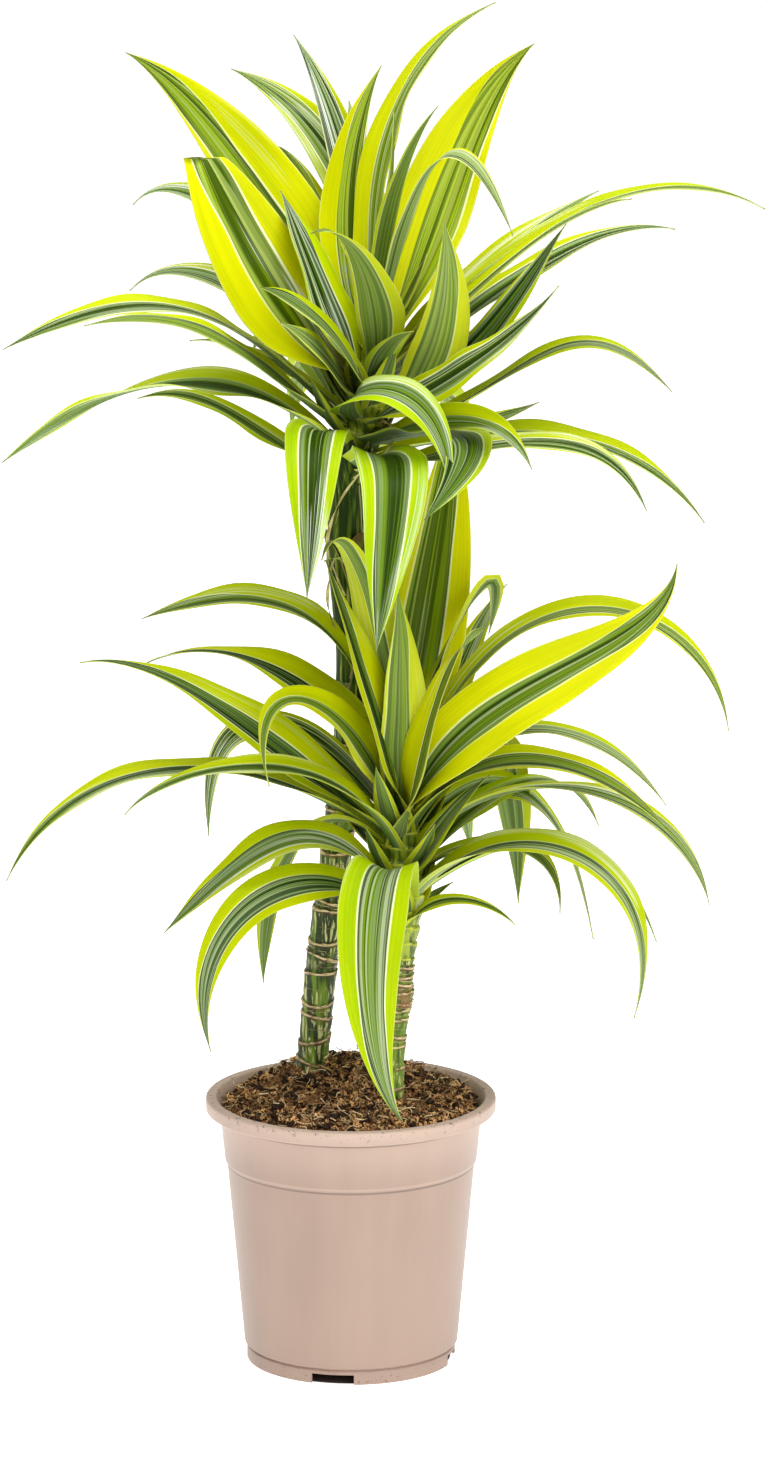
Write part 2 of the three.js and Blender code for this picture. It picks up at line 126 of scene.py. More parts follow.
# %% Wire
class Wire:
    """One output socket of a node tree. Sums on wires add Math nodes."""

    def __init__(self, tree, socket=None):
        self.tree = tree
        self.socket = socket

    def make(self, kind, settings=None, inputs=None, output=0):
        node = self.tree.nodes.new("ShaderNode" + kind)
        for name, value in (settings or {}).items():
            setattr(node, name, value)
        for name, value in (inputs or {}).items():
            if isinstance(value, Wire):
                self.tree.links.new(value.socket, node.inputs[name])
            else:
                node.inputs[name].default_value = value
        return Wire(self.tree, node.outputs[output])

    def sum_of(self, operation, *values):
        return self.make("Math", {"operation": operation}, dict(enumerate(values)))

    def __add__(self, other):
        return self.sum_of("ADD", self, other)

    def __sub__(self, other):
        return self.sum_of("SUBTRACT", self, other)

    def __rsub__(self, other):
        return self.sum_of("SUBTRACT", other, self)

    def __mul__(self, other):
        return self.sum_of("MULTIPLY", self, other)

    __radd__ = __add__
    __rmul__ = __mul__

    def least(self, other):
        return self.sum_of("MINIMUM", self, other)

    def most(self, other):
        return self.sum_of("MAXIMUM", self, other)

    def size(self):
        return self.sum_of("ABSOLUTE", self)

    def rise(self, low, high):
        """0 below low and 1 above high, with a smooth slope between. With low above high it falls."""
        limits = {"From Min": low, "From Max": high}
        return self.make("MapRange", {"interpolation_type": "SMOOTHSTEP"}, {"Value": self, **limits})

    def to(self, other, share):
        """This colour mixed towards another by a share. Either may be a wire or three numbers."""
        return mixed(self.tree, self, other, share)

    def parts(self):
        """The three numbers of a vector."""
        split = self.make("SeparateXYZ", inputs={"Vector": self}).socket.node
        return [Wire(self.tree, out) for out in split.outputs]


def colour_of(value):
    return value if isinstance(value, Wire) else (*value, 1)


def mixed(tree, low, high, share):
    """A Mix node between two colours."""
    settings = {"data_type": "RGBA", "clamp_factor": True}
    node = Wire(tree).make("Mix", settings, {0: share}, output=2).socket.node
    for index, colour in ((6, colour_of(low)), (7, colour_of(high))):
        if isinstance(colour, Wire):
            tree.links.new(colour.socket, node.inputs[index])
        else:
            node.inputs[index].default_value = colour
    return Wire(tree, node.outputs[2])


def vector_of(tree, x, y, z):
    return Wire(tree).make("CombineXYZ", inputs={"X": x, "Y": y, "Z": z})


def grain(tree, place, scale, detail=2.0, roughness=0.5):
    """Soft random values from 0 to 1. The place is a vector wire, and scale is cells per unit of it."""
    inputs = {"Vector": place, "Scale": scale, "Detail": detail, "Roughness": roughness}
    return Wire(tree).make("TexNoise", None, inputs)


def attribute(tree, name):
    return Wire(tree).make("Attribute", {"attribute_name": name}, output="Vector")


def object_place(tree):
    return Wire(tree).make("TexCoord", output="Object")


def finish(name, base, roughness, bump=None, bump_depth=0.1, **fixed):
    """A material. base and roughness may be wires, bump is a height wire, fixed are plain shader values."""
    material = bpy.data.materials.get(name)
    tree = material.node_tree
    shader = tree.nodes["Principled BSDF"]
    for socket, value in {"Base Color": colour_of(base), "Roughness": roughness, **fixed}.items():
        if isinstance(value, Wire):
            tree.links.new(value.socket, shader.inputs[socket])
        else:
            shader.inputs[socket].default_value = value
    if bump is not None:
        depth = {"Strength": 1.0, "Distance": bump_depth * MM, "Height": bump}
        normal = Wire(tree).make("Bump", None, depth)
        tree.links.new(normal.socket, shader.inputs["Normal"])
    return material


def new_tree(name):
    material = bpy.data.materials.new(name)
    material.use_nodes = True
    return material.node_tree


# %% [markdown]
# ## The room and the floor
#
# The room is white where it is seen, but gives only part of the light, so that the lamps still shape the
# plant. The studio's table is a plain pale sheet, large enough to fill every view. It glows, to stay white
# all the way back, so a dark disc lies under the pot as the shade that shows through the drain gaps. Neither
# is part of the plant.

# %% Room
ROOM_LIGHT = 0.42

world = bpy.data.worlds.new("white_room")
world.use_nodes = True
sky = world.node_tree.nodes["Background"]
sky.inputs["Color"].default_value = (1, 1, 1, 1)
seen = Wire(world.node_tree).make("LightPath", output="Is Camera Ray")
world.node_tree.links.new((seen * (1 - ROOM_LIGHT) + ROOM_LIGHT).socket, sky.inputs["Strength"])
bpy.context.scene.world = world

# %% Floor
FLOOR_SIZE = 20.0
FLOOR_WHITE = (0.93, 0.93, 0.93)
FLOOR_GLOW = 0.70
SHADE_RADIUS = 0.0585
SHADE_LIFT = 0.0002
SHADE_BROWN = (0.10, 0.075, 0.06)


def staged(name, sheet, material):
    """Turns a flat bmesh in metres into a thing of the studio."""
    mesh = bpy.data.meshes.new(name)
    sheet.to_mesh(mesh)
    sheet.free()
    mesh.materials.append(material)
    thing = bpy.data.objects.new(name, mesh)
    bpy.context.scene.collection.objects.link(thing)
    thing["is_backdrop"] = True


new_tree("studio_white")
glow = {"Emission Color": (1, 1, 1, 1), "Emission Strength": FLOOR_GLOW}
sheet = bmesh.new()
bmesh.ops.create_grid(sheet, x_segments=1, y_segments=1, size=FLOOR_SIZE)
staged("floor", sheet, finish("studio_white", FLOOR_WHITE, 0.9, **glow))

new_tree("table_in_shade")
disc = bmesh.new()
lifted = Matrix.Translation((0, 0, SHADE_LIFT))
bmesh.ops.create_circle(disc, cap_ends=True, segments=96, radius=SHADE_RADIUS, matrix=lifted)
staged("under_pot", disc, finish("table_in_shade", SHADE_BROWN, 0.9))

# %% [markdown]
# ## Small helpers
#
# Every piece ends the same way: its mesh is turned into an object at the origin, shaded smooth, given its
# finish and hung under the root body, and the solid of the frame that it stands for is hidden. A curve
# through a few points gives the middle line of a cane, and a long list of points along it makes even steps
# easy.

# %% Helpers
LINE_STEP = 0.004  # share of a line's length, to either side, over which its direction is taken


def lerp(a, b, share):
    return a + (b - a) * share


def smooth(value, low, high):
    share = min(1.0, max(0.0, (value - low) / (high - low)))
    return share * share * (3 - 2 * share)


def piece_from(mesh_maker, name, material, node, sharp_angle=None):
    """Turns a bmesh in millimetres into a piece that stands for a node of the frame."""
    bmesh.ops.scale(mesh_maker, vec=(MM, MM, MM), verts=mesh_maker.verts)
    mesh = bpy.data.meshes.new(name)
    mesh_maker.to_mesh(mesh)
    mesh_maker.free()
    mesh.shade_smooth()
    if sharp_angle:
        mesh.set_sharp_from_angle(angle=math.radians(sharp_angle))
    mesh.materials.append(material)
    piece = bpy.data.objects.new(name, mesh)
    bpy.context.scene.collection.objects.link(piece)
    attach(piece, "root")
    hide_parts(node)
    return piece


class Line:
    """A smooth line through points, walked by its share of the length."""

    def __init__(self, points):
        self.points = points
        self.reach = [0.0]
        for a, b in zip(points, points[1:]):
            self.reach.append(self.reach[-1] + (b - a).length)
        self.length = self.reach[-1]

    def at(self, share):
        """The point at a share of the length."""
        wanted = min(1.0, max(0.0, share)) * self.length
        low, high = 0, len(self.points) - 1
        while high - low > 1:
            middle = (low + high) // 2
            if self.reach[middle] <= wanted:
                low = middle
            else:
                high = middle
        part = (wanted - self.reach[low]) / (self.reach[high] - self.reach[low])
        return self.points[low].lerp(self.points[high], part)

    def along(self, share):
        return (self.at(share + LINE_STEP) - self.at(share - LINE_STEP)).normalized()


def through(knots, steps=24):
    """A Catmull-Rom line through given points."""
    knots = [Vector(knot) for knot in knots]
    padded = [knots[0] * 2 - knots[1], *knots, knots[-1] * 2 - knots[-2]]
    points = []
    for a, b, c, d in zip(padded, padded[1:], padded[2:], padded[3:]):
        for step in range(steps):
            t = step / steps
            pull = b * 2 + (c - a) * t + (a * 2 - b * 5 + c * 4 - d) * t * t
            pull = pull + (b * 3 - a - c * 3 + d) * t ** 3
            points.append(pull / 2)
    return Line([*points, knots[-1]])


def bent(root, pull_a, pull_b, tip, steps=120):
    """The curve from root to tip that two pulls bend."""
    points = []
    for step in range(steps + 1):
        t = step / steps
        s = 1 - t
        points.append(root * s ** 3 + pull_a * 3 * s * s * t + pull_b * 3 * s * t * t + tip * t ** 3)
    return Line(points)


# %% [markdown]
# A sleeve is the form that canes, leaves and leaf bases share: a sheet of squares wrapped round until its two
# long edges meet. Starting from Blender's own grid gives its faces and its map for nothing: the map's width
# runs round the sleeve and its height runs along it. The meeting edges are welded, and both ends are closed.

# %% Sleeve
MAP_MARGIN = 0.01
MAP_TOP = 0.94
CAP_HEIGHT = 0.97  # both caps lie side by side above the wall of the map
CAP_SIZE = 0.02


def sleeve(columns, rows, place, numbers=None):
    """A closed tube of columns round and rows along. place(column, row) gives each point in millimetres, and
    numbers, if given, names vectors to keep on each point: {name: function of column and row}."""
    shape = bmesh.new()
    uv = shape.loops.layers.uv.new("OFBake")
    layers = {name: shape.verts.layers.float_vector.new(name) for name in numbers or {}}
    bmesh.ops.create_grid(shape, x_segments=columns, y_segments=rows, size=1)
    spots = {v: (round((v.co.x + 1) / 2 * columns), round((v.co.y + 1) / 2 * rows)) for v in shape.verts}
    for face in shape.faces:
        for loop in face.loops:
            column, row = spots[loop.vert]
            across = lerp(MAP_MARGIN, 1 - MAP_MARGIN, column / columns)
            loop[uv].uv = (across, lerp(MAP_MARGIN, MAP_TOP, row / rows))
    for v, (column, row) in spots.items():
        v.co = place(column % columns, row)
        for name, layer in layers.items():
            v[layer] = numbers[name](column % columns, row)
    seam = [v for v, (column, _) in spots.items() if column in (0, columns)]
    bmesh.ops.remove_doubles(shape, verts=seam, dist=1e-5)
    rims = [edge for edge in shape.edges if edge.is_boundary]
    caps = bmesh.ops.holes_fill(shape, edges=rims, sides=0)["faces"]
    for number, cap in enumerate(caps):
        for index, loop in enumerate(cap.loops):
            turn = 2 * math.pi * index / len(cap.loops)
            middle = 0.25 + 0.5 * number
            loop[uv].uv = (middle + CAP_SIZE * math.cos(turn), CAP_HEIGHT + CAP_SIZE * math.sin(turn))
    bmesh.ops.recalc_face_normals(shape, faces=shape.faces)
    return shape


# %% [markdown]
# ## The pot
#
# It is one moulding of dusty taupe plastic: a tapered wall, a wider collar band so that pots nest without
# sticking, a thick rolled lip, and a foot ring with four drain gaps. Anything round comes from its outline:
# the corners of the outline are rounded first, with a vertex bevel, and the spin then carries them round.

# %% Pot outline
POT = {
    "height": 158.7, "lip": 85.0, "lip_inside": 78.5, "lip_depth": 8.2, "collar_top": 76.8,
    "collar_foot": 73.8, "collar_z": 120.5, "body_top": 72.6, "body_foot": 62.6, "foot": 61.2,
    "foot_height": 8.8, "groove": 1.1, "wall": 1.8, "floor_z": 12.5, "floor": 2.0, "pad": 13.0,
}
POT_STEPS = 192
lip_foot = POT["height"] - POT["lip_depth"]
pot_floor = POT["floor_z"] + POT["floor"]
# Each corner: radius, height, and how far the bevel takes it off
POT_OUTLINE = [
    (0, 0, 0), (POT["pad"], 0, 0.6), (POT["pad"] + 1, POT["floor_z"], 0.6),
    (POT["foot"] - POT["wall"] - 0.4, POT["floor_z"], 0.6), (POT["foot"] - POT["wall"], 0, 0.35),
    (POT["foot"], 0, 0.5), (POT["foot"], POT["foot_height"] - 1, 0.35),
    (POT["foot"] - POT["groove"], POT["foot_height"], 0.3), (POT["body_foot"], POT["foot_height"] + 1.4, 0.6),
    (POT["body_top"], POT["collar_z"] - 1.2, 0.7), (POT["collar_foot"], POT["collar_z"], 0.8),
    (POT["collar_top"], lip_foot - 0.2, 0.8), (POT["lip"] - 0.8, lip_foot, 0.5),
    (POT["lip"], lip_foot + 0.8, 0.5), (POT["lip"], POT["height"] - 0.2, 1.6),
    (POT["lip_inside"] + 0.3, POT["height"], 1.0), (POT["collar_top"] - POT["wall"], lip_foot - 2, 0.9),
    (POT["collar_foot"] - POT["wall"], POT["collar_z"] + 1.5, 0.6),
    (POT["body_top"] - POT["wall"], POT["collar_z"] - 1.5, 0.6),
    (POT["body_foot"] - POT["wall"], pot_floor, 0.6), (0, pot_floor, 0),
]


def outline_shape(points):
    """A bmesh of an outline's corners, each joined to the next. Heights run up, radii to the right."""
    shape = bmesh.new()
    corners = [shape.verts.new((radius, 0, z)) for radius, z, *_ in points]
    for a, b in zip(corners, corners[1:]):
        shape.edges.new((a, b))
    return shape, corners


def spin_round(shape, steps):
    """Carries an outline once round the Z axis and welds it where it meets itself."""
    bmesh.ops.spin(
        shape, geom=shape.verts[:] + shape.edges[:], cent=(0, 0, 0), axis=(0, 0, 1), dvec=(0, 0, 0),
        angle=2 * math.pi, steps=steps, use_merge=True, use_duplicate=False,
    )
    bmesh.ops.remove_doubles(shape, verts=shape.verts, dist=1e-4)


pot_shape, corners = outline_shape(POT_OUTLINE)
for size in sorted({taken for _, _, taken in POT_OUTLINE if taken}):
    round_these = [v for v, (_, _, taken) in zip(corners, POT_OUTLINE) if taken == size]
    bmesh.ops.bevel(
        pot_shape, geom=round_these, offset=size, offset_type="OFFSET", segments=4, profile=0.5,
        affect="VERTICES", clamp_overlap=True, material=-1,
    )
outline_points = len(pot_shape.verts)
spin_round(pot_shape, POT_STEPS)
bmesh.ops.recalc_face_normals(pot_shape, faces=pot_shape.faces)
print("pot outline:", outline_points, "points, spun to", len(pot_shape.faces), "faces")

# %% [markdown]
# The drain gaps in the foot ring and the holes in the floor are cut by plain blocks and rods. They are only
# cutters: once the Boolean is applied, they are thrown away.

# %% Pot cuts
NOTCHES = {"count": 4, "width": 25, "height": 6, "depth": 12, "first": -100}
DRAINS = {"count": 6, "radius": 5, "depth": 8, "at": 38}


def cutter_piece():
    cutter = bmesh.new()
    for i in range(NOTCHES["count"]):
        turn = Matrix.Rotation(math.radians(NOTCHES["first"] + 360 / NOTCHES["count"] * i), 4, "Z")
        block = turn @ Matrix.Translation((POT["foot"], 0, 0)) @ Matrix.Diagonal(
            (NOTCHES["depth"], NOTCHES["width"], NOTCHES["height"] * 2, 1))
        bmesh.ops.create_cube(cutter, size=1, matrix=block)
    for i in range(DRAINS["count"]):
        turn = Matrix.Rotation(math.radians(360 / DRAINS["count"] * (i + 0.5)), 4, "Z")
        rod = turn @ Matrix.Translation((DRAINS["at"], 0, POT["floor_z"] + 1))
        bmesh.ops.create_cone(
            cutter, cap_ends=True, segments=32, radius1=DRAINS["radius"], radius2=DRAINS["radius"],
            depth=DRAINS["depth"], matrix=rod,
        )
    bmesh.ops.scale(cutter, vec=(MM, MM, MM), verts=cutter.verts)
    mesh = bpy.data.meshes.new("cutter")
    cutter.to_mesh(mesh)
    cutter.free()
    tool = bpy.data.objects.new("cutter", mesh)
    bpy.context.scene.collection.objects.link(tool)
    return tool


def applied(piece):
    """Turns a piece's modifiers into plain mesh."""
    bpy.context.view_layer.update()
    solid = piece.evaluated_get(bpy.context.evaluated_depsgraph_get())
    mesh = bpy.data.meshes.new_from_object(solid)
    piece.modifiers.clear()
    piece.data = mesh


# %% [markdown]
# The plastic is semi-matte with a very fine grain from the mould and faint flow lines that run up the wall.
# Its colour is painted paler towards the lip, as painted light on the upper part of the pot, with a thin
# painted highlight along the collar's lower edge, and thin lines of painted shade lie where the lip and the
# collar overhang the wall below them. It is lightly dusted with soil at the lip and the foot. Heights here
# are in metres, as Object coordinates are.

# %% Pot finish
TAUPE = (0.370, 0.259, 0.202)
TAUPE_DEEP = (0.300, 0.209, 0.161)
# The pale taupe of painted light, for the upper part of the pot and the collar's edge.
TAUPE_PAINTED_LIGHT = (0.560, 0.415, 0.335)
# The dark of painted shade under the lip and under the collar.
PAINTED_CREASE_SHADE = (0.13, 0.088, 0.066)
DUST = (0.11, 0.066, 0.038)
# Heights of the painted shade under the lip and under the collar, and of the painted highlight on the
# collar's edge.
UNDER_LIP = 0.1486
UNDER_COLLAR = 0.1189
COLLAR_EDGE = 0.1213

tree = new_tree("taupe_plastic")
place = object_place(tree)
across_x, across_y, up_z = place.parts()
flow = grain(tree, vector_of(tree, across_x, across_y, up_z * 0.12), 55, 3)
cloud = grain(tree, place, 9, 2)
speck = grain(tree, place, 900, 2)
near_lip = up_z.rise(0.1500, 0.1585)
near_foot = up_z.rise(0.012, 0.000)
crumbs = grain(tree, place, 420, 3, 0.7).rise(0.60, 0.66)
dirt = crumbs * (near_lip * 0.8 + near_foot * 0.75 + 0.03)
colour = mixed(tree, TAUPE_DEEP, TAUPE, (cloud * 0.6 + flow * 0.5).rise(0.2, 0.75))
# Paler towards the lip and at the lip: painted light on the upper part of the pot.
colour = colour.to(TAUPE_PAINTED_LIGHT, up_z.rise(0.118, 0.150) * 0.45 + near_lip * 0.3)
shade_patchiness = cloud.rise(0.3, 0.6) * 0.3 + 0.7
# Painted shade: thin dark lines on the wall just under the lip and under the collar, broken up a little by
# the cloud.
shade_under_lip = (up_z - UNDER_LIP).size().rise(0.0015, 0.0005)
shade_under_collar = (up_z - UNDER_COLLAR).size().rise(0.0010, 0.0003)
colour = colour.to(PAINTED_CREASE_SHADE, (shade_under_lip * 0.9 + shade_under_collar * 0.8) * shade_patchiness)
# A thin painted highlight along the collar's lower edge.
colour = colour.to(TAUPE_PAINTED_LIGHT, (up_z - COLLAR_EDGE).size().rise(0.0010, 0.0003) * 0.3)
colour = colour.to(DUST, dirt)
shine = flow * 0.10 + cloud * 0.08 + dirt * 0.3 + 0.34
pot_finish = finish(
    "taupe_plastic", colour, shine, bump=speck * 0.35 + flow * 0.5, bump_depth=0.06,
    **{"Specular IOR Level": 0.45},
)

# %% Pot piece
pot = piece_from(pot_shape, "nursery_pot", pot_finish, "pot")
cutter = cutter_piece()
cut = pot.modifiers.new("cuts", "BOOLEAN")
cut.operation = "DIFFERENCE"
cut.solver = "EXACT"
cut.object = cutter
applied(pot)
bpy.data.objects.remove(cutter)
pot.data.set_sharp_from_angle(angle=math.radians(32))
print("pot:", len(pot.data.polygons), "faces")

# %% [markdown]
# ## The soil
#
# The pot is filled with coarse peat: lumps of a few millimetres, rusty brown on top, with near black painted
# shade in the hollows.
# The surface keeps the solid's own height, which is a low dome with a heap at the back, and adds finer clods
# by noise. A spun outline gives the closed plug, and its top points are then lifted.

# %% Soil height
SOIL = {
    "edge_z": 151, "crown": 9, "heap_x": 0, "heap_y": 36, "heap": 12, "spread": 34, "front_lift": 4,
    "clods": 2.2, "wall": 73.9,
}


def soil_height(x, y):
    s = SOIL
    r = math.hypot(x, y) / s["wall"]
    heap = s["heap"] * math.exp(-((x - s["heap_x"]) ** 2 + (y - s["heap_y"]) ** 2) / (2 * s["spread"] ** 2))
    lump = math.sin(x * 0.31 + 1.3 * math.sin(y * 0.17)) * math.cos(y * 0.27 + 1.1 * math.sin(x * 0.13))
    lump += 0.5 * math.sin(x * 0.53 - y * 0.41)
    level = s["edge_z"] + s["crown"] * (1 - r * r) + heap + s["front_lift"] * smooth(-y, 10, 70)
    return level + s["clods"] * lump * (1 - 0.6 * r)


def fine_height(x, y):
    """The same surface with its clods and crumbs."""
    spot = Vector((x, y, 0))
    clod = noise.hetero_terrain(spot / 9, 0.9, 2.1, 4, 0.3) - 0.3
    crumb = noise.noise(spot / 1.9) + 0.6 * noise.noise(spot / 0.9)
    inward = smooth(SOIL["wall"] - math.hypot(x, y), 0, 6)
    return soil_height(x, y) + inward * (3.6 * clod + 0.9 * crumb) + 0.4 * crumb


SOIL_RINGS = 64
SOIL_STEPS = 256
SOIL_GAP = 0.3  # between the soil and the pot
soil_floor = pot_floor + SOIL_GAP
outline = [
    (0, soil_floor), (POT["body_foot"] - POT["wall"] - SOIL_GAP, soil_floor),
    (POT["body_top"] - POT["wall"] - SOIL_GAP, POT["collar_z"] - 1.5),
    (POT["collar_foot"] - POT["wall"] - SOIL_GAP, POT["collar_z"] + 2), (SOIL["wall"], SOIL["edge_z"] - 3),
]
outline += [(SOIL["wall"] * (1 - i / SOIL_RINGS), SOIL["edge_z"]) for i in range(SOIL_RINGS + 1)]
soil_shape, _ = outline_shape(outline)
spin_round(soil_shape, SOIL_STEPS)
for v in soil_shape.verts:
    if v.co.z > SOIL["edge_z"] - 1:
        v.co.z = fine_height(v.co.x, v.co.y)
bmesh.ops.recalc_face_normals(soil_shape, faces=soil_shape.faces)

# %% [markdown]
# Peat is many browns at once. Three grains of different size pick between near black, red brown, a dry tan
# and a few pale specks. The near black is painted shade: the two coarser grains drive the bump too, so that
# what is dark also lies deep.

# %% Soil finish
# The first colour, near black, is painted shade for the hollows; the rest are the peat's own browns and
# specks.
PEAT_AND_SHADE = [(0.012, 0.006, 0.003), (0.095, 0.040, 0.014), (0.320, 0.150, 0.054), (0.90, 0.60, 0.28)]


def peat_colour_and_shade(tree, place):
    coarse = grain(tree, place, 130, 3, 0.6)
    fine = grain(tree, place, 520, 3, 0.65)
    # Near black where the coarse grain is low, which is where the bump lies deepest: painted shade in the
    # hollows.
    colour = mixed(tree, PEAT_AND_SHADE[0], PEAT_AND_SHADE[1], coarse.rise(0.30, 0.52))
    colour = colour.to(PEAT_AND_SHADE[2], fine.rise(0.46, 0.66))
    return colour.to(PEAT_AND_SHADE[3], grain(tree, place, 1100, 2).rise(0.60, 0.68) * 0.8), coarse + fine * 0.6


tree = new_tree("peat")
colour, lumps = peat_colour_and_shade(tree, object_place(tree))
soil_finish = finish("peat", colour, 0.95, bump=lumps, bump_depth=1.1, **{"Specular IOR Level": 0.2})
piece_from(soil_shape, "peat_fill", soil_finish, "soil")

# %% [markdown]
# What makes peat read as peat is the loose stuff on top: flat chips of bark and hundreds of curled, golden
# fibres. Each chip starts as a cube and each fibre as a thin cone that is cut along its length and bent.
# Every one keeps a random tone in an attribute, so one finish serves them all.

# %% Soil bits
CHIPS = 1700
FIBRES = 900
CANE_SPOTS = ((-29, 29, 12), (23.5, -19, 9))


def spot_on_soil(dice):
    """A random place on the soil, off the canes."""
    while True:
        turn = dice.uniform(0, 2 * math.pi)
        reach = (SOIL["wall"] - 1.5) * math.sqrt(dice.random())
        x, y = reach * math.cos(turn), reach * math.sin(turn)
        if all(math.hypot(x - cx, y - cy) > keep for cx, cy, keep in CANE_SPOTS):
            return Vector((x, y, fine_height(x, y)))


def loose_turn(dice, tilt):
    """A turn that lies flat, give or take a tilt in degrees."""
    lean = Matrix.Rotation(math.radians(dice.gauss(0, tilt)), 4, "X")
    return Matrix.Rotation(dice.uniform(0, 2 * math.pi), 4, "Z") @ lean @ Matrix.Rotation(
        math.radians(dice.gauss(0, tilt)), 4, "Y")


def bark_chips():
    dice = random.Random(41)
    chips = bmesh.new()
    tone = chips.verts.layers.float_vector.new("tone")
    for _ in range(CHIPS):
        long = dice.uniform(1.6, 7.0)
        size = Matrix.Diagonal((long, long * dice.uniform(0.3, 0.75), dice.uniform(0.8, 3.2), 1))
        spot = Matrix.Translation(spot_on_soil(dice) + Vector((0, 0, 0.5)))
        made = bmesh.ops.create_cube(chips, size=1, matrix=spot @ loose_turn(dice, 34) @ size)["verts"]
        shade = dice.random()
        for v in made:
            v.co += Vector((dice.gauss(0, 0.09), dice.gauss(0, 0.09), dice.gauss(0, 0.07))) * long
            v[tone] = (shade, 0, 0)
    return chips


def peat_fibres():
    """A plain fibre of length 1, cut into short lengths, is copied and bent for each one and then deleted."""
    dice = random.Random(17)
    fibres = bmesh.new()
    tone = fibres.verts.layers.float_vector.new("tone")
    bmesh.ops.create_cone(fibres, cap_ends=True, segments=4, radius1=1, radius2=0.5, depth=1)
    lengthwise = [e for e in fibres.edges if abs(e.verts[0].co.z - e.verts[1].co.z) > 0.5]
    bmesh.ops.subdivide_edges(fibres, edges=lengthwise, cuts=5, use_grid_fill=True)
    first = fibres.verts[:] + fibres.edges[:] + fibres.faces[:]
    for _ in range(FIBRES):
        long = dice.uniform(4, 17)
        thick = dice.uniform(0.18, 0.46)
        curl = dice.uniform(-0.9, 0.9)
        lean = dice.gauss(0, 16)
        lift = Vector((0, 0, 0.9 + abs(lean) * long * 0.006))
        lie = Matrix.Translation(spot_on_soil(dice) + lift) @ loose_turn(dice, 5)
        lie = lie @ Matrix.Rotation(math.radians(90 + lean), 4, "Y")
        shade = dice.random()
        copy = bmesh.ops.duplicate(fibres, geom=first)["geom"]
        for v in (part for part in copy if isinstance(part, bmesh.types.BMVert)):
            share = v.co.z
            bow = curl * long * (share * share - 0.12)
            sway = 0.12 * long * math.sin(share * 7)
            v.co = lie @ Vector((v.co.x * thick + bow, v.co.y * thick + sway, share * long))
            v[tone] = (shade, 1, 0)
    bmesh.ops.delete(fibres, geom=first, context="VERTS")
    return fibres


# %% Soil bits finish
BITS_DARK = (0.026, 0.011, 0.004)
BITS_RUST = (0.820, 0.450, 0.180)
FIBRE_BROWN = (0.30, 0.14, 0.05)
FIBRE_GOLD = (1.0, 0.80, 0.46)

tree = new_tree("bark_and_fibre")
shade, is_fibre, _ = attribute(tree, "tone").parts()
flecks = grain(tree, object_place(tree), 700, 2)
chip_colour = mixed(tree, BITS_DARK, BITS_RUST, shade.rise(0.30, 0.95) * flecks.rise(0.44, 0.54))
fibre_colour = mixed(tree, FIBRE_BROWN, FIBRE_GOLD, shade.rise(0.35, 1.0) * (flecks + 0.5))
bits_finish = finish(
    "bark_and_fibre", chip_colour.to(fibre_colour, is_fibre), 0.85, bump=flecks, bump_depth=0.3,
    **{"Specular IOR Level": 0.25},
)
chips = piece_from(bark_chips(), "bark_chips", bits_finish, "soil", sharp_angle=30)
fibres = piece_from(peat_fibres(), "peat_fibres", bits_finish, "soil")
print("soil bits:", len(chips.data.polygons), "chip faces,", len(fibres.data.polygons), "fibre faces")

# %% [markdown]
# ## The canes
#
# A cane is bare stem that once carried leaves. Each old leaf left a scar right round it, a thin corky ridge
# that runs a little aslant, and the bark between two scars is dark green with pale dry streaks along it.
# No two scars are alike, so the heights of most of those in sight are read from the photograph. The others,
# most of them behind leaves, are guessed. The cane is a sleeve whose radius swells at every scar, and every
# point keeps its distance to the nearest scar for the finish to use.

# %% Cane shape
TALL_CANE = {
    "name": "tall_cane_bark", "node": "tall_cane", "foot": 9.4, "top": 8.7,
    "path": [(-33, 31, 70), (-23, 28, 169), (-17, 26, 233), (-10, 23, 288), (-4, 21, 339), (1, 18, 397),
             (2, 17, 422), (-2, 15, 466), (-3, 15, 493), (-2, 14, 524)],
    # height of each scar, its slant from left to right, and its dip towards the front
    "scars": [(172.6, -4, 1), (186, 5, 1), (200.5, -3, 0), (209.8, 1, 3), (226.9, 1, 0), (236.8, -6, 0),
              (246.5, 1, 1.5), (265.5, 0, 0), (271.2, -4, 1), (279, 2, 0), (288, -1, 0), (301, 2, 1),
              (313, -2, 0), (327, 1, 1), (340, -2, 1), (352, 2, 0), (367, -1, 1), (381, 1, 0), (395, -2, 1),
              (408, 2, 0)],
    "knot": None,
}
SHORT_CANE = {
    "name": "short_cane_bark", "node": "short_cane", "foot": 6.9, "top": 6.5,
    "path": [(20, -19, 80), (24, -19, 162), (25, -19, 191), (28, -19, 221), (31, -18, 247)],
    "scars": [(168.3, 2, 0), (180.9, 1, 0), (194.8, 1, 1), (199.9, -1, 0), (210, 1, 0), (216.4, 2, 1),
              (221, -1, 1), (226, 2, 0), (231, -1, 0), (236, 1, 1), (241, 0, 0)],
    "knot": (223, 1.7, 7),
}
CANE_STEP = 1.1
CANE_COLUMNS = 56
SCAR_LIFT = 0.55


def scar_gap(cane, z, turn):
    """How far above its nearest scar a point is, in millimetres."""
    right, front = math.cos(turn), -math.sin(turn)
    gaps = [z - (at + slant * right * 0.5 - dip * front) for at, slant, dip in cane["scars"]]
    return min(gaps, key=abs)


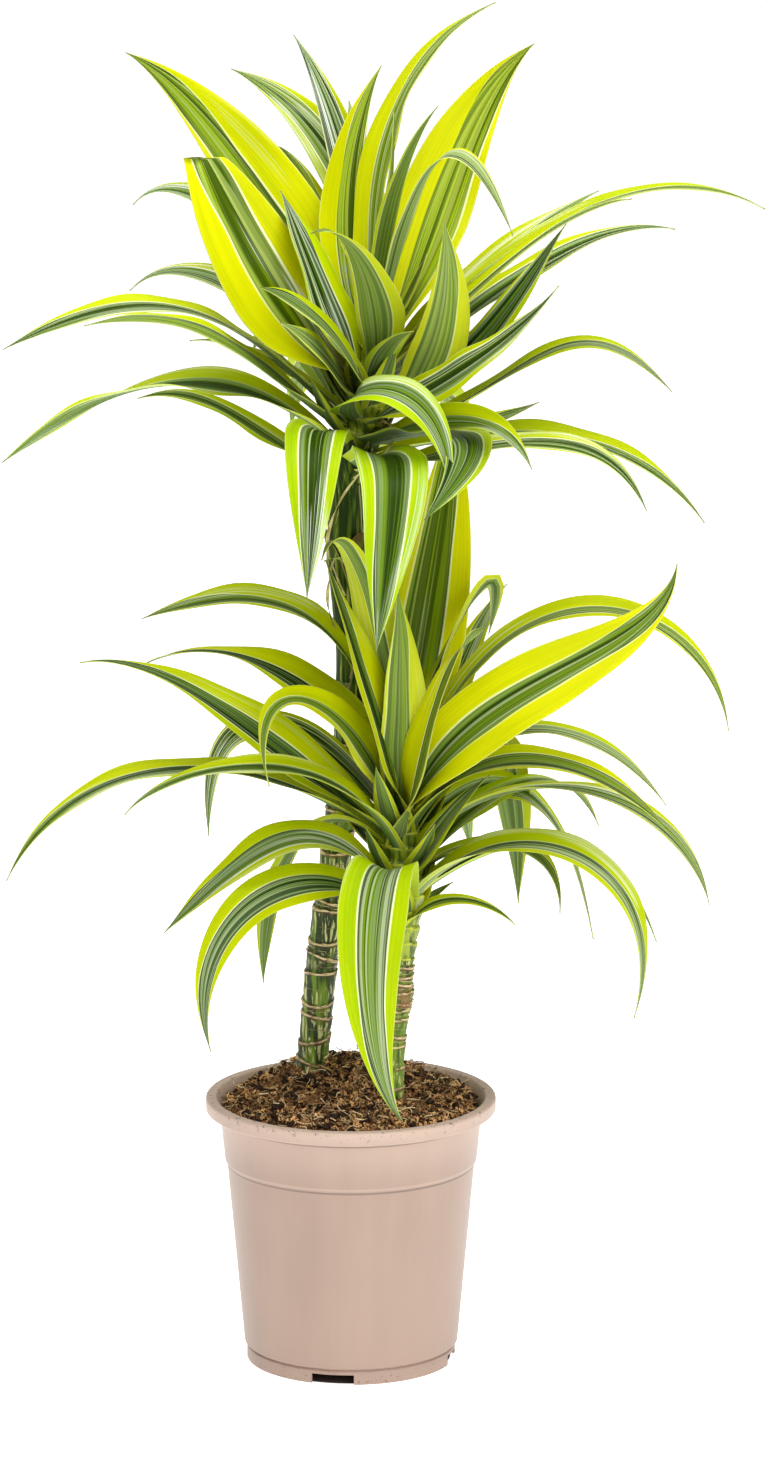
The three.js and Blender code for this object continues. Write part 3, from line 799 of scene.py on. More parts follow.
def cane_shape(cane):
    line = through(cane["path"])
    rows = round(line.length / CANE_STEP)
    spots = {}

    def spot(column, row):
        if (column, row) in spots:
            return spots[column, row]
        share = row / rows
        middle, along = line.at(share), line.along(share)
        side = Vector((1, 0, 0))
        side = (side - along * side.dot(along)).normalized()
        over = along.cross(side)
        turn = 2 * math.pi * column / CANE_COLUMNS
        out = side * math.cos(turn) + over * math.sin(turn)
        radius = lerp(cane["foot"], cane["top"], share)
        gap = scar_gap(cane, middle.z, turn)
        radius += SCAR_LIFT * math.exp(-(gap / 0.8) ** 2) - 0.35 * math.exp(-((gap - 2.2) / 1.6) ** 2)
        radius += 0.35 * math.exp(-((gap + 2.5) / 2.5) ** 2)
        radius += 0.25 * noise.noise(Vector((math.cos(turn) * 1.6, math.sin(turn) * 1.6, middle.z / 9)))
        if cane["knot"]:
            at, lift, half = cane["knot"]
            lobes = 1 + 0.35 * math.sin(turn * 3 + middle.z / 3)
            radius += lift * math.exp(-((middle.z - at) / half) ** 2) * lobes
        spots[column, row] = (middle + out * radius, gap, middle.z, turn)
        return spots[column, row]

    return sleeve(
        CANE_COLUMNS, rows, lambda c, r: spot(c, r)[0],
        {"bark": lambda c, r: (spot(c, r)[1], spot(c, r)[2], 0)},
    )


# %% [markdown]
# The bark's colour starts from dark green. Noise that is stretched along the cane gives the pale dry streaks,
# and even noise splits the scars' rusty rim into short lengths. The short cane is a little fresher and has a
# brown knot.

# %% Bark finish
BARK_GREEN = (0.020, 0.035, 0.006)
BARK_BRIGHT = (0.165, 0.270, 0.018)
BARK_STREAK = (0.62, 0.60, 0.25)
SCAR_TAN = (0.66, 0.50, 0.26)
SCAR_RUST = (0.13, 0.058, 0.026)
KNOT_BROWN = (0.24, 0.115, 0.048)
BARK_STRETCH = 0.10


def bark_finish(name, fresh, knot):
    tree = new_tree(name)
    place = object_place(tree)
    x, y, z = place.parts()
    gap, height, _ = attribute(tree, "bark").parts()
    stretched = vector_of(tree, x, y, z * BARK_STRETCH)
    broad = grain(tree, stretched, 260, 2)
    thin = grain(tree, stretched, 620, 2)
    patches = grain(tree, place, 85, 2)
    colour = mixed(tree, BARK_GREEN, BARK_BRIGHT, (broad * 0.8 + fresh).rise(0.34, 0.60))
    streaks = (thin.rise(0.50, 0.60) * patches.rise(0.38, 0.56)).least(1)
    windows = gap.size().rise(1.2, 3.0)
    colour = colour.to(BARK_STREAK, streaks * windows * 0.8)
    below = gap.rise(-2.6, -0.2) * gap.rise(1.4, 0.2)
    colour = colour.to(SCAR_RUST, below * patches.rise(0.32, 0.55) * 0.75)
    ridge = gap.size().rise(0.75, 0.25)
    colour = colour.to(SCAR_TAN, ridge * grain(tree, place, 190, 2).rise(0.36, 0.5))
    if knot:
        at, _, half = knot
        brown = (height - at).size().rise(half * 1.1, half * 0.4)
        colour = colour.to(KNOT_BROWN, brown * thin.rise(0.3, 0.6) * 0.85)
    return finish(
        name, colour, 0.42 + broad * 0.2 + ridge * 0.3, bump=thin * 0.7 + broad * 0.4, bump_depth=0.35,
        **{"Specular IOR Level": 0.25},
    )


for cane, fresh in ((TALL_CANE, 0.0), (SHORT_CANE, 0.10)):
    material = bark_finish(cane["name"], fresh, cane["knot"])
    piece = piece_from(cane_shape(cane), cane["name"], material, cane["node"])
    print(cane["name"], len(piece.data.polygons), "faces")

# %% [markdown]
# The scars aren't only colour: threads of the old leaf base stay on as a thin torn collar. Each collar is a
# strip of grid wrapped round the cane, a little aslant, with a ragged upper edge, and given a wall.

# %% Scar collars
COLLAR_COLUMNS = 60
COLLAR_WALL = 0.22
FIBRE_DARK = (0.26, 0.14, 0.06)
FIBRE_PALE = (0.72, 0.58, 0.34)


def scar_collars(cane, seed):
    dice = random.Random(seed)
    line = through(cane["path"])
    collars = bmesh.new()
    for at, slant, dip in cane["scars"]:
        share = 0.0
        while line.at(share).z < at and share < 1:
            share += 0.001
        middle = line.at(share)
        radius = lerp(cane["foot"], cane["top"], share) + SCAR_LIFT * 0.7
        if cane["knot"]:
            radius += cane["knot"][1] * math.exp(-((at - cane["knot"][0]) / cane["knot"][2]) ** 2)
        phase = dice.uniform(0, 60)
        start, end = sorted((dice.uniform(0, 6.28), dice.uniform(0, 6.28)))
        if end - start < 2.5:
            start, end = 0, 2 * math.pi
        made = bmesh.ops.create_grid(collars, x_segments=COLLAR_COLUMNS, y_segments=2, size=1)["verts"]
        for v in made:
            turn = lerp(start, end, (v.co.x + 1) / 2)
            up = (v.co.y + 1) / 2
            ragged = 0.9 + 0.9 * noise.noise(Vector((turn * 4, phase, 0)))
            rise = at + slant * 0.5 * math.cos(turn) + dip * math.sin(turn) - 0.4 + up * ragged
            out = radius + 0.05 + up * (0.25 + 0.25 * noise.noise(Vector((turn * 2, phase, 5))))
            v.co = Vector((middle.x + out * math.cos(turn), middle.y + out * math.sin(turn), rise))
    bmesh.ops.recalc_face_normals(collars, faces=collars.faces)
    bmesh.ops.solidify(collars, geom=collars.faces[:], thickness=COLLAR_WALL)
    return collars


tree = new_tree("dry_fibre")
place = object_place(tree)
x, y, z = place.parts()
strand = grain(tree, vector_of(tree, x, y, z * 3), 240, 3)
colour = mixed(tree, FIBRE_DARK, FIBRE_PALE, strand.rise(0.34, 0.60))
dry_finish = finish("dry_fibre", colour, 0.8, bump=strand, bump_depth=0.2, **{"Specular IOR Level": 0.3})
for cane, seed in ((TALL_CANE, 5), (SHORT_CANE, 9)):
    piece_from(scar_collars(cane, seed), cane["node"] + "_scars", dry_finish, cane["node"])

# %% [markdown]
# ## The leaves
#
# Each leaf is a strap that clasps the stem, arches out and ends in a fine point. Its middle line is a curve
# from the root to the tip, bent by two pulls. The first rows were picked on the photograph. Then a
# least-squares fit set the pulls of 33 rows, and seeded random searches moved rows in depth to part the
# leaves, 39 of them in the last one, and ten rows were changed after that. So most of these numbers
# were written by programs and are no readings, and some leaves still cross. The table is the same as the
# solids': root height on the shoot, first pull, second pull, tip, width, roll about the middle line part of
# the way out and at the tip, and for two leaves the share of the length where they start to narrow.

# %% Leaf table
UPPER_SHOOT = {
    "path": [(-2, 14, 522.3), (3, 13, 546), (10, 12, 570), (16, 12, 599), (19, 12, 636)],
    "radii": [8.6, 11.5, 12.8, 12.8, 12, 9, 4],
}
LOWER_SHOOT = {
    "path": [(31, -18, 245.3), (30, -17, 280), (29, -16, 310), (29, -15, 352)],
    "radii": [6.6, 10, 13, 14, 13, 9.5, 5],
}
UPPER_LEAVES = [
    # upright leaves at the top of the head
    (599, 8, 1, 665, 4, 61, 754, 83, 29, 797, 30, -12, -22),
    (587, 40, 11, 640, 55, 98, 725, 106, 68, 768, 46, 40, 40),
    (593, -15, 11, 635, -12, 44, 710, 18, 50, 758, 29, -10, -10),
    (605, 10, 57, 655, 0, 66, 723, -33, 85, 771, 24, -30, -30),
    (616, 14, 45, 675, -12, 87, 729, -70, 133, 744, 28, -40, -40),
    (587, -23, 18, 662, -81, 81, 739, -130, 74, 762, 44, -60, -60),
    (570, -53, 1, 610, -97, -26, 758, -82, 26, 696, 60, -60, -62, 0.44),
    (587, 13, -6, 637, 20, 3, 705, 50, -22, 745, 15, 5, -5),
    (610, 20, 11, 651, 26, 16, 703, 25, 15, 736, 20, -25, -30),
    (570, -3, -15, 603, -26, -11, 666, -40, 19, 690, 34, -60, -60),
    (552, 57, 4, 571, 62, -50, 638, 53, -59, 685, 33, -35, -30),
    # arching leaves, left side
    (581, -29, 41, 652, -98, 66, 708, -126, 68, 674, 24, -36, -40),
    (570, -35, 40, 617, -93, 60, 660, -128, 60, 625, 24, -30, -30),
    (546, -63, -20, 627, -106, -6, 653, -198, -23, 605, 25, -4, -45),
    (546, -56, -10, 589, -75, -40, 639, -149, -87, 630, 26, -28, -15),
    (531, -48, -1, 593, -119, -27, 606, -198, -47, 544, 34, -22, 65),
    (525, -55, 20, 538, -74, 30, 581, -123, 30, 567, 22, -14, -26),
    (552, -29, 46, 581, -70, 18, 607, -93, 46, 598, 20, 0, 0),
    (564, 9, -54, 597, -17, -38, 635, -50, -82, 651, 30, -60, -60),
    (558, 0, 0, 578, -22, -76, 623, -39, -94, 633, 28, -60, -60),
    (575, 31, -30, 629, 0, -60, 691, -22, -60, 678, 30, 0, -40),
    # arching leaves, right side
    (590, 39, -39, 748, 66, -66, 747, 92, -75, 679, 15, 15, 40),
    (572, 57, 38, 628, 97, -2, 670, 143, 38, 687, 28, 20, 20),
    (575, 74, 3, 659, 164, -17, 725, 237, 2, 682, 28, 4, 10),
    (570, 68, -25, 640, 119, -44, 692, 160, -24, 692, 26, 25, 20),
    (570, 69, 20, 621, 135, 50, 673, 188, 60, 661, 32, 8, 12),
    (558, 71, -1, 578, 96, -41, 641, 122, -63, 684, 24, 65, 65),
    (552, 51, -63, 589, 95, -105, 625, 117, -111, 657, 26, 65, 65),
    (549, 92, 2, 554, 116, -1, 652, 185, 7, 575, 20, 8, 36),
    (540, 46, 81, 533, 81, 70, 544, 110, 68, 558, 20, 20, 20),
    (537, 46, -15, 571, 86, -77, 586, 102, -129, 556, 21, 50, 5),
    (531, 63, 11, 552, 151, -3, 576, 204, -2, 500, 25, 14, 22),
    (525, 43, -41, 538, 139, -66, 594, 168, -78, 522, 26, 20, 16),
    # leaves that come forward and hang
    (555, -24, -80, 591, 54, -76, 619, 57, -89, 536, 27, 38, 0),
    (528, 29, -50, 552, 30, -130, 585, 15, -110, 448, 42, 0, 0),
    (534, -27, -32, 570, -17, -121, 594, -24, -109, 478, 36, -8, -8),
    (558, 14, 13, 581, 20, -17, 612, 36, -76, 625, 20, 0, 0),
    (540, 66, -40, 566, 86, -80, 574, 42, -103, 522, 38, -4, 6),
]
LOWER_LEAVES = [
    # upright leaves in the middle of the head
    (310, 29, -50, 383, 1, -48, 441, -14, -25, 483, 34, -75, -75),
    (328, 24, -37, 426, -1, 1, 525, -16, -69, 492, 32, 20, 20),
    (328, 36, 31, 388, 58, 24, 490, 60, 44, 566, 46, 20, 20),
    (316, 36, -40, 381, 33, -47, 435, 27, -34, 467, 36, 30, 30),
    (333, 29, 23, 380, 21, 11, 494, -15, -23, 482, 26, -60, -60),
    (333, 44, 0, 430, 100, 8, 512, 80, 14, 431, 24, -10, -70),
    (304, 40, -67, 387, 51, -77, 442, 78, -26, 444, 34, 75, 75),
    # right side
    (322, 69, -10, 501, 207, 0, 469, 219, 0, 377, 22, 12, 55),
    (310, 44, -94, 434, 180, -49, 421, 188, -11, 478, 44, 70, 70),
    (322, 76, 19, 403, 150, 53, 372, 185, 48, 321, 22, 5, 50),
    (304, 59, -47, 401, 147, -53, 377, 183, -44, 327, 26, 20, 18),
    (292, 66, -19, 374, 190, -19, 362, 208, -20, 278, 24, -8, 50),
    (268, 67, -49, 353, 193, -56, 333, 164, -46, 217, 31, 15, 10),
    (310, 81, 78, 348, 122, 64, 345, 143, 56, 238, 24, 40, 55),
    (316, 52, 62, 370, 92, 70, 420, 99, 80, 254, 50, 20, 20),
    (286, 58, 9, 316, 122, -22, 330, 121, -39, 278, 26, 0, 22),
    (257, 39, -40, 292, 75, -60, 297, 95, -60, 276, 14, 35, -5),
    (259, 36, 10, 267, 49, 20, 275, 60, 20, 282, 14, -10, -10),
    (280, 43, -30, 313, 57, -58, 344, 80, -32, 358, 28, 50, 50),
    # left side
    (339, 7, -42, 448, -30, 1, 481, -122, 43, 434, 28, 0, -48),
    (310, -14, -28, 355, -100, -37, 436, -155, -35, 425, 36, -45, -5),
    (322, 9, 0, 410, -75, -21, 446, -122, 20, 411, 32, -32, 12),
    (304, 19, -42, 412, -67, -62, 446, -46, -78, 362, 28, -70, 20),
    (298, 3, -81, 403, -106, -47, 369, -129, -68, 343, 30, -17, 0),
    (304, -31, 6, 366, -154, -39, 392, -199, -27, 294, 26, -8, -30),
    (316, -12, 7, 382, -87, 7, 418, -83, 25, 308, 22, -40, -70),
    (280, -21, -40, 346, -45, -50, 332, -108, -40, 266, 30, -25, -22),
    (298, -12, -1, 360, -51, -5, 307, -51, -4, 227, 32, 10, 35),
    (257, -3, -40, 330, -104, -70, 295, -80, -80, 206, 31, -35, -20),
    # the leaf that hangs down in front of the pot's soil
    (268, 16, -116, 392, -4, -92, 210, 31, -68, 160, 44, -5, -5, 0.2),
]

# %% [markdown]
# No two leaves are marked alike, so the marks are judged from the photograph, in the same order as the
# rows above: the two pale margins as shares of the half blade, how yellow they are, how olive the green band
# is, and how much silver lies in it. Scripts then told from the rows which margin comes first, made 48 of the
# leaves yellower by 0.12 to 0.16, and widened the margins of 21 lower leaves by 15 %.

# %% Leaf marks
# The yellow of the margins is partly painted light and shade: part of the yellowing above brightens leaves
# that lie in shade, and the leaves that hang in front keep little yellow as painted shade.
UPPER_LOOKS = [
    (0.15, 0.85, 0.85, 0.5, 0.6), (0.28, 0.85, 0.95, 0.95, 0.35), (0.14, 0.85, 0.9, 0.85, 0.45),
    (0.45, 0.08, 0.5, 0.05, 1), (0.5, 0.4, 0.5, 0.3, 0.6), (1, 0.22, 0.9, 0.55, 0.1),
    (0.5, 0.75, 1, 0.75, 0.6), (0.25, 0.15, 0.5, 0.55, 0.1), (0.3, 0.1, 0.4, 0.5, 0.1),
    (0.55, 0.15, 0.35, 0, 0.5), (0.25, 0.62, 0.95, 0.8, 0.15), (0.7, 0.12, 0.52, 0.2, 0.9),
    (0.75, 0.12, 0.52, 0.2, 0.9), (0.7, 0.18, 0.47, 0.25, 0.7), (0.42, 0.18, 0.52, 0.35, 0.2),
    (0.65, 0.35, 0.47, 0.15, 0.45), (0.6, 0.5, 0.47, 0.3, 0.3), (0.6, 0.3, 0.62, 0.3, 0.3),
    (0.55, 0.25, 0.47, 0.1, 0.15), (0.32, 0.3, 0.52, 0.3, 0.6), (0.2, 0.5, 0.67, 0.6, 0.15),
    (0.15, 0.4, 0.62, 0.3, 0.8), (0.2, 0.85, 0.67, 0.4, 0.6), (0.3, 0.9, 0.57, 0.4, 0.5),
    (0.35, 0.75, 0.67, 0.35, 0.5), (0.12, 0.45, 0.67, 0.2, 0.95), (0.48, 0.22, 0.47, 0, 0.55),
    (0.42, 0.3, 0.62, 0.15, 0.75), (0.45, 0.75, 0.57, 0.45, 0.3), (0.3, 0.5, 0.52, 0.2, 0.2),
    (0.12, 0.85, 0.52, 0.2, 0.4), (0.15, 0.9, 0.52, 0.3, 0.55), (0.18, 0.65, 0.52, 0.25, 0.7),
    (0.5, 0.4, 0.1, 0.1, 0.45), (0.45, 0.5, 0, 0.1, 0.3), (0.5, 0.45, 0, 0.2, 0.6),
    (0.32, 0.5, 0.35, 0.4, 0.1), (0.1, 0.35, 0.25, 0.05, 0.05),
]
LOWER_LOOKS = [
    (0.95, 0.4, 0.75, 0.15, 0.05), (0.9, 0.6, 0.75, 0.5, 0.2), (0.62, 0.35, 1, 0.85, 0.1),
    (0.15, 0.95, 0.85, 0.6, 0.1), (0.3, 0.3, 0.55, 0.65, 0.35), (0.75, 0.6, 0.9, 0.3, 0.6),
    (0.12, 1, 0.95, 0.8, 0.25), (0.34, 0.92, 0.71, 0.45, 0.4), (0.66, 0.66, 1, 0.2, 0),
    (0.23, 0.57, 0.56, 0.3, 0.8), (0.23, 0.57, 0.76, 0.4, 0.05), (0.25, 0.48, 0.56, 0.3, 0.55),
    (0.46, 0.8, 0.51, 0.15, 0.45), (0.23, 0.46, 0.56, 0.3, 0.8), (0.48, 0.17, 0.56, 0.4, 0.4),
    (0.29, 0.57, 0.56, 0.4, 0.5), (0.52, 0.57, 0.66, 0.35, 0.05), (0.34, 0.34, 0.66, 0.4, 0.1),
    (0.34, 0.34, 0.51, 0.15, 0.2), (1, 0.29, 0.56, 0.4, 0.3), (0.76, 0.4, 0.58, 0, 0.1),
    (0.92, 0.34, 0.66, 0.05, 0), (0.86, 0.46, 0.76, 0.3, 0.1), (0.8, 0.29, 0.54, 0.15, 0.45),
    (0.8, 0.25, 0.58, 0.3, 0.3), (0.23, 0.23, 0.56, 0.3, 0.9), (0.57, 0.48, 0.56, 0.15, 0.5),
    (0.57, 0.44, 0.51, 0.05, 0.2), (0.57, 0.48, 0.51, 0.05, 0.2), (0.56, 0.46, 0.05, 0.15, 0.35),
]

# %% [markdown]
# The far side of the plant can't be seen in the photograph. A dracaena sets each new leaf a golden turn on
# from the last, so a short rule with seeded draws grows the leaves there, in the same places as the solids'.

# %% Leaves at the back
UPPER_BACK = {"count": 10, "azimuth": (68, 124), "root": (530, 592), "seed": 7}
LOWER_BACK = {"count": 8, "azimuth": (22, 106), "root": (272, 318), "seed": 3}
GOLDEN_TURN = 0.618034


def draws(seed):
    """The same plain random sequence as the solids': a multiply and a remainder."""
    state = seed
    while True:
        state = state * 16807 % 2147483647
        yield state / 2147483647


def stem_at(path, z):
    upper = next(i for i, point in enumerate(path) if point[2] >= z)
    low, high = Vector(path[upper - 1]), Vector(path[upper])
    return low.lerp(high, (z - low.z) / (high.z - low.z))


def back_leaves(shoot, rule):
    draw = draws(rule["seed"])
    rows = []
    for i in range(rule["count"]):
        turn = math.radians(lerp(*rule["azimuth"], (i * GOLDEN_TURN) % 1) + 6 * (next(draw) - 0.5))
        high = (i + 0.5) / rule["count"]
        root_z = math.floor(lerp(*rule["root"], high) + 0.5)
        reach = lerp(165, 95, high) * (0.92 + 0.16 * next(draw))
        start = stem_at(shoot["path"], root_z)

        def out(share, rise):
            ahead = reach * share
            return (start.x + math.cos(turn) * ahead, start.y + math.sin(turn) * ahead, root_z + rise)

        pulls = out(0.34, lerp(42, 70, high)) + out(0.8, lerp(48, 135, high)) + out(1, lerp(-45, 150, high))
        width = lerp(28, 33, next(draw))
        rows.append((root_z, *pulls, width, 0, 16 * (next(draw) - 0.5)))
    return rows


# %% [markdown]
# A blade is a sleeve pressed flat. Its columns run across the upper face from one margin to the other and
# back across the underside, closest together near the margins, where the blade is thinnest. Across the blade
# it is a soft channel, deep at the root and nearly flat further out, and both margins wave gently, each in
# its own time. Each point keeps its place across and along the blade for the stripes to follow.

# %% Blade shape
ACROSS = [-1, -0.97, -0.88, -0.75, -0.6, -0.45, -0.3, -0.15, 0, 0.15, 0.3, 0.45, 0.6, 0.75, 0.88, 0.97, 1]
ROW_STEP = 4.2
KEEL_SOFTNESS = 0.24
THICK_MIDRIB = 0.9
THICK_RIM = 0.42
TIP_WIDTH = 0.5
TAPER_FROM = 0.36
FOLD_AT_ROOT = 0.6  # radians that each half leans up from flat
FOLD_AT_MIDDLE = 0.16
WAVE_HEIGHT = 0.10  # of the margins, as a share of half the width


def blade_share(t, taper_from):
    """The blade's width along it, as a share of its widest."""
    pointed = max(0.0, (t - taper_from) / (1 - taper_from))
    return (0.54 + 0.46 * smooth(t, 0.02, 0.45)) * math.cos(math.pi / 2 * pointed ** 1.22) ** 1.15


def keel(u):
    """How far the blade has risen at u of the way to its margin: round at the midrib, straight beyond."""
    k = KEEL_SOFTNESS
    return (math.sqrt(u * u + k * k) - k) / (math.sqrt(1 + k * k) - k)


def blade_shape(shoot, row, seed, look):
    root_z, *points, width, roll_middle, roll_tip = row[:13]
    taper_from = row[13] if len(row) > 13 else TAPER_FROM
    dice = random.Random(seed)
    pulls = [Vector(points[i:i + 3]) for i in (0, 3, 6)]
    line = bent(stem_at(shoot["path"], root_z), *pulls)
    outward = (pulls[0] + pulls[1] + pulls[2]) / 3 - line.points[0]
    outward = Vector((outward.x, outward.y, 0)).normalized()
    side = Vector((0, 0, 1)).cross(outward)
    rows = max(24, round(line.length / ROW_STEP))
    waves = [(dice.uniform(48, 85), dice.uniform(0, 6.28), dice.uniform(0.25, 1.0)) for _ in range(2)]
    table = []
    for index in range(rows + 1):
        t = index / rows
        middle, along = line.at(t), line.along(t)
        flat = (side - along * along.dot(side)).normalized()
        over = along.cross(flat)
        roll = math.radians(roll_middle * smooth(t, 0, 0.35) + (roll_tip - roll_middle) * smooth(t, 0.35, 1))
        across = flat * math.cos(roll) + over * math.sin(roll)
        face = over * math.cos(roll) - flat * math.sin(roll)
        half = max(TIP_WIDTH, blade_share(t, taper_from) * width) / 2
        fold = lerp(FOLD_AT_ROOT, FOLD_AT_MIDDLE, smooth(t, 0, 0.5))
        ring = []
        for u in ACROSS:
            length, phase, strength = waves[u > 0]
            reach = line.length * t
            wave = math.sin(2 * math.pi * reach / length + phase) * strength * u * u * half * WAVE_HEIGHT
            lift = keel(abs(u)) * half * math.sin(fold) + wave * smooth(t, 0.1, 0.35)
            skin = lerp(THICK_MIDRIB, THICK_RIM, abs(u)) / 2 * math.sqrt(max(0, 1 - u ** 8))
            ring.append((middle + across * (u * half * math.cos(fold)) + face * lift, face * skin))
        table.append((ring, line.length * t))
    last = len(ACROSS) - 1

    def station(column):
        return (column, 1) if column <= last else (2 * last - column, -1)

    def place(column, index):
        at, side_of = station(column)
        point, skin = table[index][0][at]
        return point + skin * side_of

    def numbers(column, index):
        at, side_of = station(column)
        return (ACROSS[at], table[index][1], 0 if side_of > 0 else 1)

    keep = {
        "blade": numbers,
        "margins": lambda c, r: (look["left"], look["right"], look["yellow_and_painted_light"]),
        "own": lambda c, r: (seed * 0.37 % 7, look["silver_and_sheen"], look["olive"]),
        "reach": lambda c, r: (table[r][1] / line.length, 0, 0),
    }
    return sleeve(2 * last, rows, place, keep)


# %% [markdown]
# ### How a leaf is striped
#
# From the midrib out: a dark green band with a few hair-thin pale lines, a silvery green stripe, a thin cream
# line, and a broad margin that is clear yellow on the young upright leaves and lime on the older ones. Short
# pale lines over the silvery leaves are painted sheen, and a faint pale rim along each margin is a painted
# highlight. All of it runs the length of the blade and narrows with it, so it is drawn over the place across
# the blade, while noise that is stretched along the blade gives each line its slight waver. The underside is
# paler and duller.

# %% Leaf finish
LIME = (0.365, 0.500, 0.001)
LIME_DEEP = (0.255, 0.410, 0.001)
YELLOW = (0.600, 0.605, 0.001)
YELLOW_DEEP = (0.470, 0.505, 0.001)
CREAM = (0.90, 0.92, 0.62)
BAND_COLD = ((0.010, 0.030, 0.002), (0.098, 0.180, 0.012))
BAND_OLIVE = ((0.055, 0.100, 0.001), (0.300, 0.420, 0.003))
SILVER_COLD = (0.320, 0.430, 0.260)
SILVER_OLIVE = (0.380, 0.480, 0.060)
PALE_COLD = (0.50, 0.58, 0.34)
PALE_OLIVE = (0.40, 0.47, 0.06)
# The near white of painted sheen.
PAINTED_SHEEN = (0.93, 0.97, 0.88)
UNDER_BAND = (0.20, 0.30, 0.08)
UNDER_MARGIN = (0.46, 0.54, 0.04)
DRY_TIP = (0.30, 0.26, 0.10)
LEAF_SHINE = (0.85, 1.0, 0.6, 1)


def leaf_finish():
    tree = new_tree("striped_leaf")
    across, along, under = attribute(tree, "blade").parts()
    left, right, yellow_and_painted_light = attribute(tree, "margins").parts()
    seed, silver_and_sheen, olive = attribute(tree, "own").parts()
    share, _, _ = attribute(tree, "reach").parts()

    def lines(crowd, stretch, offset, detail=1.5):
        """Noise drawn out into lines along the blade: so many across a half, and so many along a metre."""
        spot = vector_of(tree, across * crowd, along * (stretch * MM), seed + offset)
        return grain(tree, spot, 1, detail)

    narrow = 1 - share.rise(0.62, 1.0) * 0.7
    waver = (lines(1.2, 14, 3) - 0.5) * 0.16
    inside = (across + waver + 1 - left * narrow).least(1 - right * narrow - across + waver)
    band = inside.rise(-0.012, 0.015)
    broad = lines(4.2, 2, 11)
    thin = lines(9, 1.5, 23)
    hair = lines(34, 2.5, 31)

    # How yellow a margin is; per leaf this also carries painted light and shade.
    margin = mixed(tree, LIME, YELLOW, yellow_and_painted_light)
    deep = mixed(tree, LIME_DEEP, YELLOW_DEEP, yellow_and_painted_light)
    blotch = lines(1.5, 9, 41, 2)
    margin = margin.to(deep, (blotch.rise(0.38, 0.64) * 0.7 + hair.rise(0.48, 0.60) * 0.5).least(1))
    dark = mixed(tree, BAND_COLD[0], BAND_OLIVE[0], olive)
    mid = mixed(tree, BAND_COLD[1], BAND_OLIVE[1], olive)
    green = dark.to(mid, broad.rise(0.42, 0.56))
    green = green.to(dark, hair.rise(0.50, 0.58) * 0.75)
    stripe = inside.rise(0.01, 0.04) * inside.rise(0.20, 0.12) * (broad.rise(0.4, 0.6) * 0.2 + silver_and_sheen * 0.5)
    more = lines(4.5, 1.6, 53).rise(0.54, 0.59) * silver_and_sheen
    green = green.to(mixed(tree, SILVER_COLD, SILVER_OLIVE, olive), stripe.most(more).least(1) * 0.72)
    pale_lines = thin.rise(0.575, 0.605) * inside.rise(0.04, 0.12) * (silver_and_sheen * 0.5 + 0.4)
    green = green.to(mixed(tree, PALE_COLD, PALE_OLIVE, olive), pale_lines.least(1))
    colour = margin.to(green, band)
    # Painted sheen: short pale lines, highlights painted into the colour of the silvery leaves.
    painted_sheen_mask = lines(22, 4, 67).rise(0.50, 0.60) * lines(0.9, 8, 71).rise(0.56, 0.64) * silver_and_sheen
    colour = colour.to(PAINTED_SHEEN, painted_sheen_mask * 0.8)
    line = (inside + 0.012).size().rise(0.042, 0.015) * lines(2, 6, 61).rise(0.30, 0.55)
    colour = colour.to(CREAM, line * (silver_and_sheen * 0.5 + 0.45))
    # A painted highlight: a faint pale rim along the very edge of each margin.
    edge = across.size().rise(0.955, 0.99)
    colour = colour.to(CREAM, edge * 0.2)
    pale = mixed(tree, UNDER_BAND, UNDER_MARGIN, 1 - band)
    colour = colour.to(pale, under.rise(0.4, 0.6) * 0.38)
    dry_tip = share.rise(0.985, 1.0)
    colour = colour.to(DRY_TIP, dry_tip * 0.7)
    fixed = {
        "Specular IOR Level": 0.06, "Specular Tint": LEAF_SHINE,
        "Subsurface Weight": 0.1, "Subsurface Scale": 0.0012,
    }
    return finish(
        "striped_leaf", colour, hair * 0.16 + broad * 0.08 + under * 0.12 + 0.28,
        bump=hair * 0.5 + thin * 0.6 + broad * 0.6, bump_depth=0.18, **fixed,
    )


# %% Make the leaves
leaf_material = leaf_finish()


def look_of(marks, row, seed):
    """How a leaf is marked. Leaves at the back get seeded marks, more yellow the more they rise."""
    dice = random.Random(seed * 7 + 1)
    if marks is None:
        yellow_and_painted_light = min(1.0, max(0.0, 0.12 + smooth(row[9] - row[0], -30, 120) * 0.75))
        margins = (dice.uniform(0.3, 0.7), dice.uniform(0.3, 0.7))
        marks = (*margins, yellow_and_painted_light, dice.uniform(0, 0.6), dice.uniform(0, 0.8))
    return dict(zip(("left", "right", "yellow_and_painted_light", "olive", "silver_and_sheen"), marks))


def grow(head, shoot, rows, looks, first_seed):
    for index, row in enumerate(rows):
        seed = first_seed + index
        look = look_of(looks[index] if index < len(looks) else None, row, seed)
        shape = blade_shape(shoot, row, seed, look)
        piece_from(shape, f"{head}_leaf_{index + 1:02}", leaf_material, head + "_crown")
    print(head, "crown:", len(rows), "leaves")


grow("upper", UPPER_SHOOT, UPPER_LEAVES + back_leaves(UPPER_SHOOT, UPPER_BACK), UPPER_LOOKS, 100)
grow("lower", LOWER_SHOOT, LOWER_LEAVES + back_leaves(LOWER_SHOOT, LOWER_BACK), LOWER_LOOKS, 300)

# %% [markdown]
# ### The shoots
#
# Where the leaves start, their bases clasp the stem one over the other, like the scales of a leek. Between
# the blades only slivers of this show: a stack of short flared cuffs, each narrow below and lipped above.

